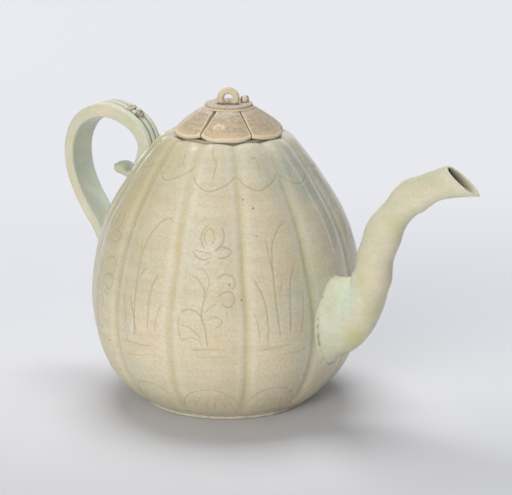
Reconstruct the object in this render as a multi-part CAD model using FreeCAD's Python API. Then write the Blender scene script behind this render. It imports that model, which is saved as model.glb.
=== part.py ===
import FreeCAD, Part
import math
import os

# Lobed wine ewer in stoneware, with a spout, a strap handle and a lift-off lid.
# Millimetres. The origin is the centre of the foot's resting face, +Z is up,
# +X runs along the spout and the handle is on the -X side.

# Body
body_height = 174.5
body_radius = 88.9
lobe_count = 12
groove_depth = 2.9
wall = 4.6
floor_thickness = 5.5
shoulder_ledge = 10.0

# Crest outline from the foot to the mouth: height, radius and groove depth, as shares of
# the body's height above its foot, its radius and the groove depth
body_outline_shares = [
    (0.000, 0.632, 0.30),
    (0.032, 0.722, 0.45),
    (0.064, 0.786, 0.65),
    (0.096, 0.838, 0.80),
    (0.147, 0.899, 0.95),
    (0.223, 0.958, 1.00),
    (0.298, 0.989, 1.00),
    (0.376, 1.000, 1.00),
    (0.450, 0.992, 1.00),
    (0.528, 0.971, 1.00),
    (0.604, 0.938, 1.00),
    (0.680, 0.890, 1.00),
    (0.756, 0.820, 0.95),
    (0.832, 0.729, 0.85),
    (0.898, 0.643, 0.75),
    (0.960, 0.549, 0.65),
]
mouth_groove_share = 0.55

# Foot
foot_height = 2.8
foot_width = 7.6
foot_setback = 0.9
base_recess = 3.7

# Mouth collar
mouth_radius = 27.0
collar_wall = 4.5
collar_height = 2.5

# Spout: how far the lip reaches past the body's widest radius
spout_reach = 102.0
spout_radius = 13.8
spout_wall = 3.3
lip_wall = 1.8
root_half_height = 29.0
root_half_width = 15.8
bore_radius = 9.0

# Stations of the root: place outward as shares of the body radius and of the spout's reach,
# height as a share of the body height, tilt of the axis in degrees, and half sizes as shares
root_station_shares = [
    (0.880, 0.000, 0.383, 0.0, 1.034, 1.045),
    (1.000, -0.019, 0.394, 2.0, 0.938, 1.000),
    (1.000, 0.063, 0.419, 14.0, 0.859, 0.937),
]
# Stations of the tube past the body's widest radius: reach, height, tilt and half sizes
tube_station_shares = [
    (0.1431, 0.4562, 20.0, 1.594, 1.000),
    (0.2000, 0.5100, 41.0, 1.181, 0.978),
    (0.2353, 0.5479, 61.0, 0.935, 0.913),
    (0.2569, 0.5771, 72.0, 0.880, 0.870),
    (0.2657, 0.6160, 76.0, 0.846, 0.848),
    (0.2814, 0.6556, 75.0, 0.826, 0.837),
    (0.3010, 0.6860, 69.0, 0.830, 0.804),
    (0.3235, 0.7255, 64.8, 0.884, 0.792),
    (0.3569, 0.7679, 60.9, 0.819, 0.768),
    (0.4000, 0.8060, 55.8, 0.746, 0.717),
    (0.4500, 0.8413, 51.6, 0.732, 0.688),
    (0.5029, 0.8751, 41.9, 0.797, 0.656),
    (0.5431, 0.8917, 35.5, 0.822, 0.623),
    (0.6020, 0.9117, 29.9, 0.761, 0.572),
    (0.6706, 0.9347, 28.6, 0.688, 0.536),
    (0.7363, 0.9524, 25.0, 0.688, 0.500),
    (0.7990, 0.9656, 18.0, 0.717, 0.471),
    (0.9147, 0.9777, 13.0, 0.725, 0.457),
    (1.0353, 0.9868, 13.0, 0.739, 0.446),
]
lip_upper_shares = (0.7657, 1.0201)
lip_lower_shares = (1.000, 0.9255)
# Stations of the bore before it follows the tube: places outward, height and tilt
bore_station_shares = [
    (0.800, 0.000, 0.350, 8.0),
    (1.000, 0.000, 0.375, 16.0),
    (1.000, 0.070, 0.402, 27.0),
    (1.000, 0.135, 0.442, 40.0),
    (1.000, 0.190, 0.492, 52.0),
]
skipped_station_count = 3
spout_steps = 3
spout_section_points = 16

# Handle strap: how far its outer face stands past the body's widest radius
handle_reach = 42.1
handle_width = 21.5
handle_thickness = 8.2
ridge_count = 3
ridge_height = 1.5

# Stations of the strap from its lower end, up, over and down to the shoulder: place outward
# as shares of the body radius and of the reach, height as a share of the body height, then
# shares of the thickness and of the width
handle_station_shares = [
    (0.927, 0.000, 0.365, 0.95, 1.000),
    (1.000, -0.014, 0.418, 0.93, 1.000),
    (1.000, 0.152, 0.480, 0.92, 1.000),
    (1.000, 0.340, 0.564, 0.93, 1.000),
    (1.000, 0.525, 0.624, 0.95, 1.000),
    (1.000, 0.746, 0.703, 0.98, 0.985),
    (1.000, 0.905, 0.797, 1.00, 0.975),
    (1.000, 0.893, 0.902, 1.00, 0.975),
    (1.000, 0.800, 0.951, 1.05, 0.965),
    (1.000, 0.530, 1.011, 1.15, 0.930),
    (1.000, 0.143, 1.0355, 1.22, 0.865),
    (0.899, 0.000, 1.0155, 1.20, 0.790),
    (0.767, 0.000, 0.967, 1.22, 0.720),
    (0.722, 0.000, 0.915, 1.22, 0.665),
    (0.746, 0.000, 0.865, 1.20, 0.615),
    (0.787, 0.000, 0.820, 1.10, 0.575),
]

# Curled tail of the strap
curl_width = 14.0
curl_tip_shares = (1.000, 0.105, 0.8105)
curl_root_share = 0.70
curl_upper_share = 0.8360
curl_lower_share = 0.7865
curl_nook_shares = (0.883, 0.8190)
curl_root_heights_shares = (0.870, 0.747)

# Broken feet of the small tether loop on top of the strap
tether_foot_radius = 2.7
tether_top_share = 0.72
front_stub_height = 3.0
rear_stub_height = 1.0
front_stub_place_share = 0.821
rear_stub_place_share = 0.780

# Lid
petal_count = 6
petal_turn = 4.0
lid_overhang = 4.7
lid_rise = 15.2
lid_rim_height = 1.9
petal_notch = 4.0
petal_cut_width = 1.4
petal_cut_depth = 1.5
cap_radius = 16.6
cap_height = 2.6
cap_edge_round = 1.8
ring_wall = 3.0
ring_drop = 8.0
seat_clearance = 3.0
lid_shift_shares = (0.48, 0.36)
lid_roof = 4.0
lid_outline_shares = [
    (0.00, 1.00),
    (0.22, 0.82),
    (0.45, 0.61),
    (0.72, 0.33),
    (1.00, 0.00),
]

# Coiled loop and bud on the cap
loop_radius = 5.3
coil_radius = 1.8
loop_turn = -33.0
loop_offset = 3.6
loop_sink = 2.0
bud_radius = 2.9
bud_gap_share = 0.10
bud_turn = 43.0
bud_sink_share = 0.12

# Overrun of every cutting tool
overrun = 20.0

mouth_ledge_radius = mouth_radius + collar_wall + shoulder_ledge
seat_height = body_height + collar_height
foot_radius = body_outline_shares[0][1] * body_radius - foot_setback
lid_radius = mouth_radius + collar_wall + lid_overhang
cap_base_height = seat_height + lid_rise
cap_top_height = cap_base_height + cap_height
lid_x = seat_clearance * lid_shift_shares[0]
lid_y = seat_clearance * lid_shift_shares[1]


def point(x, y, z):
    return FreeCAD.Vector(x, y, z)


def polar(radius, degrees, height, x=0, y=0):
    turn = math.radians(degrees)
    return point(x + radius * math.cos(turn), y + radius * math.sin(turn), height)


def scalloped_wire(count, first_groove, crest, groove, height, x=0, y=0):
    step = 360.0 / count
    edges = []
    for index in range(count):
        start = first_groove + index * step
        arc = Part.Arc(
            polar(groove, start, height, x, y),
            polar(crest, start + step / 2, height, x, y),
            polar(groove, start + step, height, x, y),
        )
        edges.append(arc.toShape())
    return Part.Wire(edges)


def turned(outline_points, curved_count):
    # A solid of revolution about Z: a smooth curve through the first points, then lines
    curve = Part.BSplineCurve()
    curve.interpolate(outline_points[:curved_count])
    edges = [curve.toShape()]
    rest = outline_points[curved_count - 1:] + outline_points[:1]
    for start, end in zip(rest, rest[1:]):
        edges.append(Part.makeLine(start, end))
    face = Part.Face(Part.Wire(edges))
    return face.revolve(point(0, 0, 0), point(0, 0, 1), 360)


def lathe(corners, x=0, y=0):
    # A solid of revolution with straight sides, about a vertical line at x, y
    ring = [point(x + radius, y, height) for radius, height in corners]
    face = Part.Face(Part.makePolygon(ring + ring[:1]))
    return face.revolve(point(x, y, 0), point(0, 0, 1), 360)


def annulus(inner, outer, bottom, top, x=0, y=0):
    return lathe([(inner, bottom), (outer, bottom), (outer, top), (inner, top)], x, y)


def body_stations():
    rise = body_height - foot_height
    stations = []
    for height_share, radius_share, groove_share in body_outline_shares:
        height = foot_height + height_share * rise
        crest = radius_share * body_radius
        stations.append((height, crest, crest - groove_share * groove_depth))
    groove = mouth_ledge_radius - mouth_groove_share * groove_depth
    stations.append((body_height, mouth_ledge_radius, groove))
    return stations


def body_outer():
    first_groove = 180.0 / lobe_count
    wires = []
    for height, crest, groove in body_stations():
        wires.append(scalloped_wire(lobe_count, first_groove, crest, groove, height))
    return Part.makeLoft(wires, True, False)


def body_cavity():
    # The groove outline moved inward by the wall, between the floor and the shoulder's underside
    stations = body_stations()
    floor_height = foot_height + base_recess + floor_thickness
    roof_height = body_height - wall
    moved = []
    for before, here, after in zip(stations, stations[1:], stations[2:]):
        rise = after[0] - before[0]
        widening = after[2] - before[2]
        length = math.hypot(rise, widening)
        radius = here[2] - wall * rise / length
        height = here[0] + wall * widening / length
        if floor_height < height < roof_height:
            moved.append((radius, height))
    low_radius = moved[0][0] - (moved[0][1] - floor_height)
    outline = [point(low_radius, 0, floor_height)]
    outline += [point(radius, 0, height) for radius, height in moved]
    outline.append(point(mouth_radius + collar_wall, 0, roof_height))
    curved_count = len(outline)
    outline += [point(0, 0, roof_height), point(0, 0, floor_height)]
    cavity = turned(outline, curved_count)
    mouth = Part.makeCylinder(mouth_radius, wall + overrun, point(0, 0, roof_height - wall))
    return cavity.fuse(mouth)


def body_shell(outer, bore):
    recess_radius = foot_radius - foot_width
    recess = Part.makeCylinder(recess_radius, overrun + base_recess, point(0, 0, foot_height - overrun))
    return outer.cut(body_cavity()).cut(recess).cut(bore)


def foot_ring():
    return annulus(foot_radius - foot_width, foot_radius, 0, foot_height)


def mouth_collar():
    return annulus(mouth_radius, mouth_radius + collar_wall, body_height, seat_height)


def tilted_section(x, z, tilt, half_height, half_width):
    # A closed oval across the spout's axis, which lies in the XZ plane at that tilt
    lean = math.radians(tilt)
    across = point(-math.sin(lean), 0, math.cos(lean))
    sideways = point(0, 1, 0)
    centre = point(x, 0, z)
    ring = []
    for index in range(spout_section_points):
        turn = 2 * math.pi * index / spout_section_points
        offset = across * (half_height * math.cos(turn)) + sideways * (half_width * math.sin(turn))
        ring.append(centre + offset)
    curve = Part.BSplineCurve()
    curve.interpolate(ring, PeriodicFlag=True)
    return Part.Wire([curve.toShape()])


def outward(body_share, reach_share, reach):
    return body_share * body_radius + reach_share * reach


def tube_section(station, drawn_in=0):
    reach_share, height, tilt, tall, wide = station
    x = outward(1, reach_share, spout_reach)
    sizes = (tall * spout_radius - drawn_in, wide * spout_radius - drawn_in)
    return tilted_section(x, height * body_height, tilt, *sizes)


def smoothed(stations):
    # Stations added between the given ones, on a smooth curve that passes through them all
    result = []
    last = len(stations) - 1
    for index in range(last):
        quad = [stations[min(max(index + offset, 0), last)] for offset in (-1, 0, 1, 2)]
        for step in range(spout_steps):
            result.append(tuple(eased(values, step / spout_steps) for values in zip(*quad)))
    result.append(stations[last])
    return result


def eased(values, share):
    before, start, end, after = values
    start_slope = (end - before) / 2
    end_slope = (after - start) / 2
    square = share * share
    cube = square * share
    from_ends = start * (2 * cube - 3 * square + 1) + end * (3 * square - 2 * cube)
    from_slopes = start_slope * (cube - 2 * square + share) + end_slope * (cube - square)
    return from_ends + from_slopes


def spout_root(outer, bore):
    wires = []
    for body_share, reach_share, height, tilt, tall, wide in root_station_shares:
        x = outward(body_share, reach_share, spout_reach)
        sizes = (tall * root_half_height, wide * root_half_width)
        wires.append(tilted_section(x, height * body_height, tilt, *sizes))
    wires.append(tube_section(tube_station_shares[0]))
    flare = Part.makeLoft(wires, True, False)
    return flare.cut(outer).cut(bore)


def lip_cutter():
    # Everything beyond the slanting plane through the lip's upper and lower points
    upper = point(outward(1, lip_upper_shares[0], spout_reach), 0, lip_upper_shares[1] * body_height)
    lower = point(outward(1, lip_lower_shares[0], spout_reach), 0, lip_lower_shares[1] * body_height)
    along = (lower - upper).normalize()
    beyond = point(-along.z, 0, along.x)
    middle = (upper + lower) * 0.5
    return Part.makeCylinder(spout_reach / 2, spout_reach / 2, middle, beyond)


def spout_bore():
    # Round where it leaves the body, then the tube's own ovals drawn in by the wall
    stations = smoothed(tube_station_shares)
    wires = []
    for body_share, reach_share, height, tilt in bore_station_shares:
        x = outward(body_share, reach_share, spout_reach)
        wires.append(tilted_section(x, height * body_height, tilt, bore_radius, bore_radius))
    first = skipped_station_count * spout_steps
    last = len(stations) - 1
    for index in range(first, last + 1):
        drawn_in = spout_wall + (lip_wall - spout_wall) * index / last
        wires.append(tube_section(stations[index], drawn_in))
    return Part.makeLoft(wires, True, True)


def spout_tube(bore):
    wires = [tube_section(station) for station in smoothed(tube_station_shares)]
    return Part.makeLoft(wires, True, True).cut(bore).cut(lip_cutter())


def handle_points():
    points = []
    for body_share, reach_share, height, *_ in handle_station_shares:
        x = -outward(body_share, reach_share, handle_reach)
        points.append(point(x, 0, height * body_height))
    return points


def handle_frame(curve, parameter):
    centre = curve.value(parameter)
    along = curve.tangent(parameter)[0]
    out = point(-along.z, 0, along.x)
    return centre, out


def strap_section(centre, out, thickness, width):
    # Flat inner face and edges, and rounded ridges side by side on the outer face
    half = thickness / 2
    ridge_width = width / ridge_count
    valley = half - ridge_height
    side = point(0, 1, 0)
    start = -width / 2
    edges = []
    for index in range(ridge_count):
        left = start + index * ridge_width
        arc = Part.Arc(
            centre + side * left + out * valley,
            centre + side * (left + ridge_width / 2) + out * half,
            centre + side * (left + ridge_width) + out * valley,
        )
        edges.append(arc.toShape())
    corners = [
        centre - side * start + out * valley,
        centre - side * start - out * half,
        centre + side * start - out * half,
        centre + side * start + out * valley,
    ]
    for first, second in zip(corners, corners[1:]):
        edges.append(Part.makeLine(first, second))
    return Part.Wire(edges)


def handle_curve():
    curve = Part.BSplineCurve()
    curve.interpolate(handle_points())
    return curve


def handle_strap(outer):
    curve = handle_curve()
    wires = []
    for station, place in zip(handle_station_shares, handle_points()):
        centre, out = handle_frame(curve, curve.parameter(place))
        wires.append(strap_section(centre, out, station[3] * handle_thickness, station[4] * handle_width))
    return Part.makeLoft(wires, True, False).cut(outer)


def handle_curl(outer, strap):
    # A tongue that turns outward under the strap's upper end, rounded in plan and at its tip
    half = curl_width / 2
    tip_x = -outward(curl_tip_shares[0], curl_tip_shares[1], handle_reach)
    tip = point(tip_x, 0, curl_tip_shares[2] * body_height)
    root_x = -curl_root_share * body_radius
    shoulder_x = tip_x + (curl_upper_share - curl_lower_share) * body_height
    upper = point(shoulder_x, 0, curl_upper_share * body_height)
    lower = point(shoulder_x, 0, curl_lower_share * body_height)
    nook = point(-curl_nook_shares[0] * body_radius, 0, curl_nook_shares[1] * body_height)
    high_root = point(root_x, 0, curl_root_heights_shares[0] * body_height)
    low_root = point(root_x, 0, curl_root_heights_shares[1] * body_height)
    edges = [
        Part.Arc(upper, tip, lower).toShape(),
        Part.makeLine(lower, low_root),
        Part.makeLine(low_root, high_root),
        Part.makeLine(high_root, nook),
        Part.makeLine(nook, upper),
    ]
    profile = Part.Face(Part.Wire(edges))
    profile.translate(point(0, -half, 0))
    tongue = profile.extrude(point(0, curl_width, 0))
    round_x = tip_x + half
    rounded = Part.makeCylinder(half, body_height, point(round_x, 0, 0))
    rounded = rounded.fuse(Part.makeBox(root_x - round_x, curl_width, body_height, point(round_x, -half, 0)))
    return tongue.common(rounded).cut(outer).cut(strap)


def tether_stub(strap, place_share, height):
    # A broken clay foot that rises square to the strap's outer face
    curve = handle_curve()
    span = curve.LastParameter - curve.FirstParameter
    centre, out = handle_frame(curve, curve.FirstParameter + span * place_share)
    thickest = max(station[3] for station in handle_station_shares) * handle_thickness
    rise = thickest / 2 + height
    foot = Part.makeCone(tether_foot_radius, tether_foot_radius * tether_top_share, rise, centre, out)
    return foot.cut(strap)


def lid_dome():
    first_groove = 360.0 / petal_count / 2 + petal_turn
    rim_top = seat_height + lid_rim_height
    slope_rise = lid_rise - lid_rim_height
    slope_run = lid_radius - cap_radius
    places = [(seat_height, lid_radius, petal_notch)]
    for rise_share, run_share in lid_outline_shares:
        radius = cap_radius + run_share * slope_run
        notch = petal_notch * (1 + run_share) / 2
        places.append((rim_top + rise_share * slope_rise, radius, notch))
    wires = []
    for height, crest, notch in places:
        wires.append(scalloped_wire(petal_count, first_groove, crest, crest - notch, height, lid_x, lid_y))
    rim = Part.makeLoft(wires[:2], True, False)
    slope = Part.makeLoft(wires[1:], True, False)
    dome = rim.fuse(slope)
    for index in range(petal_count):
        dome = dome.cut(petal_cut(first_groove + index * 360.0 / petal_count, rim_top))
    return dome.cut(lid_hollow())


def petal_cut(turn, rim_top):
    # A narrow slot down the valley between two petals, along the lid's slope
    run = lid_radius - cap_radius
    rise = lid_rise - lid_rim_height
    length = math.hypot(run, rise)
    slope = math.degrees(math.atan2(rise, run))
    slot = Part.makeBox(length, petal_cut_width, lid_rise, point(0, -petal_cut_width / 2, -petal_cut_depth))
    slot.rotate(point(0, 0, 0), point(0, 1, 0), slope)
    slot.translate(point(cap_radius, 0, cap_base_height))
    slot.rotate(point(0, 0, 0), point(0, 0, 1), turn)
    slot.translate(point(lid_x, lid_y, 0))
    return slot


def lid_hollow():
    inner = mouth_radius - seat_clearance - ring_wall
    top = cap_base_height - lid_roof
    corners = [(0, seat_height), (inner, seat_height), (inner / 2, top), (0, top)]
    return lathe(corners, lid_x, lid_y)


def lid_locating_ring():
    outside = mouth_radius - seat_clearance
    return annulus(outside - ring_wall, outside, seat_height - ring_drop, seat_height, lid_x, lid_y)


def lid_cap_disc():
    slab = annulus(0, cap_radius, cap_base_height, cap_top_height, lid_x, lid_y)
    rims = [edge for edge in slab.Edges if edge.BoundBox.ZMin > cap_base_height + cap_height / 2]
    return slab.makeFillet(cap_edge_round, [edge for edge in rims if edge.BoundBox.XLength > cap_radius])


def below_cap_top():
    return Part.makeCylinder(cap_radius * 2, overrun, point(lid_x, lid_y, cap_top_height - overrun))


def loop_centre_height():
    return cap_top_height - loop_sink + loop_radius + coil_radius


def lid_loop():
    turn = math.radians(loop_turn)
    axis = point(-math.sin(turn), -math.cos(turn), 0)
    centre = point(lid_x, lid_y, loop_centre_height()) + axis * loop_offset
    ring = Part.makeTorus(loop_radius, coil_radius, centre, axis)
    return ring.cut(below_cap_top())


def lid_bud():
    reach = loop_radius + coil_radius + bud_radius * (1 + bud_gap_share)
    centre = polar(reach, bud_turn, cap_top_height + bud_radius * (1 - bud_sink_share), lid_x, lid_y)
    return Part.makeSphere(bud_radius, centre).cut(below_cap_top())


def build():
    outer = body_outer()
    bore = spout_bore()
    strap = handle_strap(outer)
    return {
        "body_shell": body_shell(outer, bore),
        "foot_ring": foot_ring(),
        "mouth_collar": mouth_collar(),
        "spout_root": spout_root(outer, bore),
        "spout_tube": spout_tube(bore),
        "handle_strap": strap,
        "handle_curl": handle_curl(outer, strap),
        "tether_stub_front": tether_stub(strap, front_stub_place_share, front_stub_height),
        "tether_stub_rear": tether_stub(strap, rear_stub_place_share, rear_stub_height),
        "lid_dome": lid_dome(),
        "lid_locating_ring": lid_locating_ring(),
        "lid_cap_disc": lid_cap_disc(),
        "lid_loop": lid_loop(),
        "lid_bud": lid_bud(),
    }


os.makedirs("parts", exist_ok=True)
for name, shape in build().items():
    shape.exportStep("parts/" + name + ".step")
    box = shape.BoundBox
    size = "%.1f x %.1f x %.1f" % (box.XLength, box.YLength, box.ZLength)
    print(name, "solids", len(shape.Solids), "valid", shape.isValid(), "volume", round(shape.Volume), size)
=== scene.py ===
import math

import bmesh
import bpy
import numpy as np
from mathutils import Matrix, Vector
from mathutils.geometry import delaunay_2d_cdt


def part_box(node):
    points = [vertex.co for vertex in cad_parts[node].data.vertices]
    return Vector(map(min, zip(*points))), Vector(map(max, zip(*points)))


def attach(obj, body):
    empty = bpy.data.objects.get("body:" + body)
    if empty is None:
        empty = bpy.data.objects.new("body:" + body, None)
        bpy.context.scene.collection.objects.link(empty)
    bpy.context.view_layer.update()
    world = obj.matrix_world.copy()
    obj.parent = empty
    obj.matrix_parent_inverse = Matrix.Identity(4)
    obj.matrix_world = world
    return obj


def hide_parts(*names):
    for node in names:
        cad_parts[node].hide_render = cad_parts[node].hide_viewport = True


# Melon-shaped ewer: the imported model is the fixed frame, and every visible piece is made
# around it. Lengths in the dictionaries are millimetres, and meshes are made in metres.

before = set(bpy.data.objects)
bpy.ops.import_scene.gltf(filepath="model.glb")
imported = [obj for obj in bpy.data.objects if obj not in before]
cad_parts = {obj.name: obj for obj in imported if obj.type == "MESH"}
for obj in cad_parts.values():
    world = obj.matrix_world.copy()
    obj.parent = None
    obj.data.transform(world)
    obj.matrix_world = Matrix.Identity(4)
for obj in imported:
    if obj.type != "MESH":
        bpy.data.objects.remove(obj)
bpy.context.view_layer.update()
mm = 0.001
fullTurn = 2 * math.pi
weldGap, sliverEdge = 0.00002, 0.000002


def smoothLine(points, spacing):
    # a smooth curve through the points, resampled evenly along its first two columns
    p = np.asarray(points, float)
    steps = np.linalg.norm(np.diff(p[:, :2], axis=0), axis=1)
    along = np.concatenate([[0.0], np.cumsum(steps)])
    runs = np.diff(p, axis=0) / steps[:, None]
    slopes = np.empty_like(p)
    slopes[0], slopes[-1] = runs[0], runs[-1]
    weigh = (steps[1:] + steps[:-1])[:, None]
    slopes[1:-1] = (runs[:-1] * steps[1:, None] + runs[1:] * steps[:-1, None]) / weigh
    count = max(2, int(round(along[-1] / spacing)) + 1)
    place = np.linspace(0, along[-1], count)
    i = np.clip(np.searchsorted(along, place, side="right") - 1, 0, len(steps) - 1)
    u = ((place - along[i]) / steps[i])[:, None]
    h = steps[i][:, None]
    ends = p[i] * (2 * u**3 - 3 * u**2 + 1) + p[i + 1] * (3 * u**2 - 2 * u**3)
    return ends + slopes[i] * h * (u**3 - 2 * u**2 + u) + slopes[i + 1] * h * (u**3 - u**2)


def smoothStep(value, low, high):
    t = np.clip((np.asarray(value, float) - low) / (high - low), 0, 1)
    return t * t * (3 - 2 * t)


def bell(value, middle, width):
    return np.exp(-(((value - middle) / width) ** 2))


def unevenness(points, size, seed):
    # seeded soft waves, about -1 to 1, for surfaces made by hand
    pick = np.random.default_rng(seed)
    total = np.zeros(points.shape[:-1])
    for _ in range(7):
        direction = pick.normal(size=3)
        direction *= fullTurn / size * pick.uniform(0.6, 1.6) / np.linalg.norm(direction)
        total += np.sin(points @ direction + pick.uniform(0, fullTurn))
    return total / 2.6


def wobble(points, size, seed):
    # unevenness along x, y and z
    return np.stack([unevenness(points, size, seed + k) for k in range(3)], axis=2)


def spotMask(points, spots):
    # soft round spots on a surface: place, radius and strength of each
    total = np.zeros(points.shape[:-1])
    for x, y, z, radius, strength in spots:
        total += strength * np.exp(-(((points - (x, y, z)) ** 2).sum(axis=-1)) / radius**2)
    return np.clip(total, 0, 1)


def anglesAround(count):
    return np.arange(count)[None, :] / count * fullTurn


def rowNormals(rows):
    around = np.roll(rows, -1, axis=1) - np.roll(rows, 1, axis=1)
    normal = np.cross(around, np.gradient(rows, axis=0))
    return normal / np.maximum(np.linalg.norm(normal, axis=2, keepdims=True), 1e-9)


def setFloats(mesh, name, values):
    attribute = mesh.attributes.get(name) or mesh.attributes.new(name, "FLOAT", "POINT")
    attribute.data.foreach_set("value", np.ascontiguousarray(values, np.float32).ravel())


def readFloats(mesh, name):
    values = np.empty(len(mesh.vertices), np.float32)
    mesh.attributes[name].data.foreach_get("value", values)
    return values


def readPlaces(mesh):
    # the vertices' places in millimetres
    places = np.empty(len(mesh.vertices) * 3, np.float32)
    mesh.vertices.foreach_get("co", places)
    return places.reshape(-1, 3) / mm


def linked(name, data):
    thing = bpy.data.objects.new(name, data)
    bpy.context.scene.collection.objects.link(thing)
    return thing


def pieceFromMesh(name, mesh):
    # welds seams and poles, turns the faces outward and makes the object
    bm = bmesh.new()
    bm.from_mesh(mesh)
    bmesh.ops.remove_doubles(bm, verts=bm.verts, dist=weldGap)
    bmesh.ops.dissolve_degenerate(bm, edges=bm.edges, dist=sliverEdge)
    bmesh.ops.recalc_face_normals(bm, faces=bm.faces)
    for face in bm.faces:
        face.smooth = True
    bm.to_mesh(mesh)
    bm.free()
    mesh.name = name
    return linked(name, mesh)


def pieceFromParts(name, parts):
    bm = bmesh.new()
    for part in parts:
        bm.from_mesh(part)
    mesh = bpy.data.meshes.new(name)
    bm.to_mesh(mesh)
    bm.free()
    return pieceFromMesh(name, mesh)


def skin(name, rows, loop=False, tints=None):
    # rows of points (rows, columns, 3) in millimetres, closed around, as one piece
    rowCount, columnCount = rows.shape[:2]
    i = np.arange(rowCount if loop else rowCount - 1)[:, None]
    j = np.arange(columnCount)[None, :]
    i2, j2 = (i + 1) % rowCount, (j + 1) % columnCount
    corners = [row * columnCount + column for row, column in ((i, j), (i, j2), (i2, j2), (i2, j))]
    faces = np.stack(corners, axis=2).reshape(-1, 4)
    mesh = bpy.data.meshes.new(name)
    mesh.from_pydata((rows.reshape(-1, 3) * mm).tolist(), [], faces.tolist())
    for label, values in (tints or {}).items():
        setFloats(mesh, label, np.broadcast_to(values, (rowCount, columnCount)))
    return pieceFromMesh(name, mesh)


def capped(rows, end=True):
    # a row drawn together to its middle closes the start, and the end too
    first, last = (np.broadcast_to(row.mean(axis=0), row.shape)[None] for row in (rows[0], rows[-1]))
    return np.concatenate([first, rows, last] if end else [first, rows])


def padded(values, end=True):
    # masks for the rows that capped adds
    return np.concatenate([values[:1], values, values[-1:]] if end else [values[:1], values])


def spun(profile, columnCount, centre=(0, 0)):
    # rows of a turned form from (radius, height) points
    angle = anglesAround(columnCount)
    r, z = profile[:, 0][:, None], profile[:, 1][:, None]
    flat = np.broadcast_to(z, (len(profile), columnCount))
    return np.stack([centre[0] + r * np.cos(angle), centre[1] + r * np.sin(angle), flat], axis=2)


def roundedProfile(corners, spacing):
    # straight runs resampled, corners given as (radius, height) points
    parts = []
    for start, end in zip(corners, corners[1:]):
        count = max(1, int(round(math.dist(start, end) / spacing)))
        run = np.array(end) - np.array(start)
        parts += [np.array(start) + run * k / count for k in range(count)]
    return np.array(parts + [np.array(corners[-1], float)])


class nodeValue:
    # a node's output, which adds and multiplies like a number
    def __init__(self, tree, socket):
        self.tree, self.socket = tree, socket

    def __add__(self, other):
        return calc("ADD", self, other)

    def __sub__(self, other):
        return calc("SUBTRACT", self, other)

    def __rsub__(self, other):
        return calc("SUBTRACT", other, self)

    def __mul__(self, other):
        return calc("MULTIPLY", self, other)

    def __truediv__(self, other):
        return calc("DIVIDE", self, other)

    def __rtruediv__(self, other):
        return calc("DIVIDE", other, self)

    def __pow__(self, other):
        return calc("POWER", self, other)


def join(value, socket):
    if isinstance(value, nodeValue):
        value.tree.links.new(value.socket, socket)
    elif value is not None:
        socket.default_value = value


def put(tree, kind, inputs=None, **settings):
    node = tree.nodes.new(kind)
    for key, value in settings.items():
        setattr(node, key, value)
    pairs = enumerate(inputs) if isinstance(inputs, (list, tuple)) else (inputs or {}).items()
    for key, value in pairs:
        join(value, node.inputs[key])
    return node


def take(tree, kind, inputs=None, output=0, **settings):
    return nodeValue(tree, put(tree, kind, inputs, **settings).outputs[output])


def calc(operation, *values, clamp=False):
    tree = next(value.tree for value in values if isinstance(value, nodeValue))
    return take(tree, "ShaderNodeMath", values, operation=operation, use_clamp=clamp)


def vectorCalc(operation, *values, output=0):
    return take(values[0].tree, "ShaderNodeVectorMath", values, output, operation=operation)


def ranged(value, low, high, ends=(0.0, 1.0), kind="SMOOTHSTEP"):
    inputs = {"Value": value, "From Min": low, "From Max": high, "To Min": ends[0], "To Max": ends[1]}
    return take(value.tree, "ShaderNodeMapRange", inputs, interpolation_type=kind)


def mixed(share, low, high):
    return take(share.tree, "ShaderNodeMix", {0: share, 6: low, 7: high}, 2, data_type="RGBA")


def newTree(name, kind, inputs, outputs):
    # a node group, its inputs by name and its output node
    tree = bpy.data.node_groups.new(name, kind)
    for label, socket, value in inputs:
        item = tree.interface.new_socket(label, in_out="INPUT", socket_type="NodeSocket" + socket)
        if value is not None:
            item.default_value = value
    for label, socket in outputs:
        tree.interface.new_socket(label, in_out="OUTPUT", socket_type="NodeSocket" + socket)
    start, end = tree.nodes.new("NodeGroupInput"), tree.nodes.new("NodeGroupOutput")
    return tree, {label: nodeValue(tree, start.outputs[label]) for label, _, _ in inputs}, end


def finishTree(geometry, material, end):
    # every Geometry Nodes tree here ends in plain faces with their material set
    real = take(geometry.tree, "GeometryNodeRealizeInstances", [geometry])
    inputs = {"Geometry": real, "Material": material}
    join(take(geometry.tree, "GeometryNodeSetMaterial", inputs), end.inputs["Geometry"])


def evaluatedMesh(piece):
    # the object's mesh as its modifiers make it, with the modifiers gone
    graph = bpy.context.evaluated_depsgraph_get()
    mesh = bpy.data.meshes.new_from_object(piece.evaluated_get(graph), depsgraph=graph)
    piece.modifiers.clear()
    return mesh


def applied(tree, name, mesh, values):
    # a mesh sent through a Geometry Nodes tree with these values at its inputs
    carrier = linked(name, mesh)
    modifier = carrier.modifiers.new(tree.name, "NODES")
    modifier.node_group = tree
    for item in tree.interface.items_tree:
        if item.item_type == "SOCKET" and item.in_out == "INPUT" and item.name in values:
            modifier[item.identifier] = values[item.name]
    made = evaluatedMesh(carrier)
    bpy.data.objects.remove(carrier)
    return made


def finishPiece(piece, material, body, slot, *nodes):
    piece.data.materials.clear()
    piece.data.materials.append(material)
    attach(piece, body)
    if nodes:
        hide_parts(*nodes)
    piece.data.calc_loop_triangles()
    print(piece.name, "made,", len(piece.data.loop_triangles), "triangles")
    return piece


cameraPlace = {
    "place": (0.85990, -1.10927, 0.47961), "target": (0.01531, 0.01154, 0.09963),
    "lens": 156.8, "sensor": 36.0,
}


def aim(thing, place, target):
    thing.location = place
    thing.rotation_euler = (Vector(target) - Vector(place)).to_track_quat("-Z", "Y").to_euler()


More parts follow.
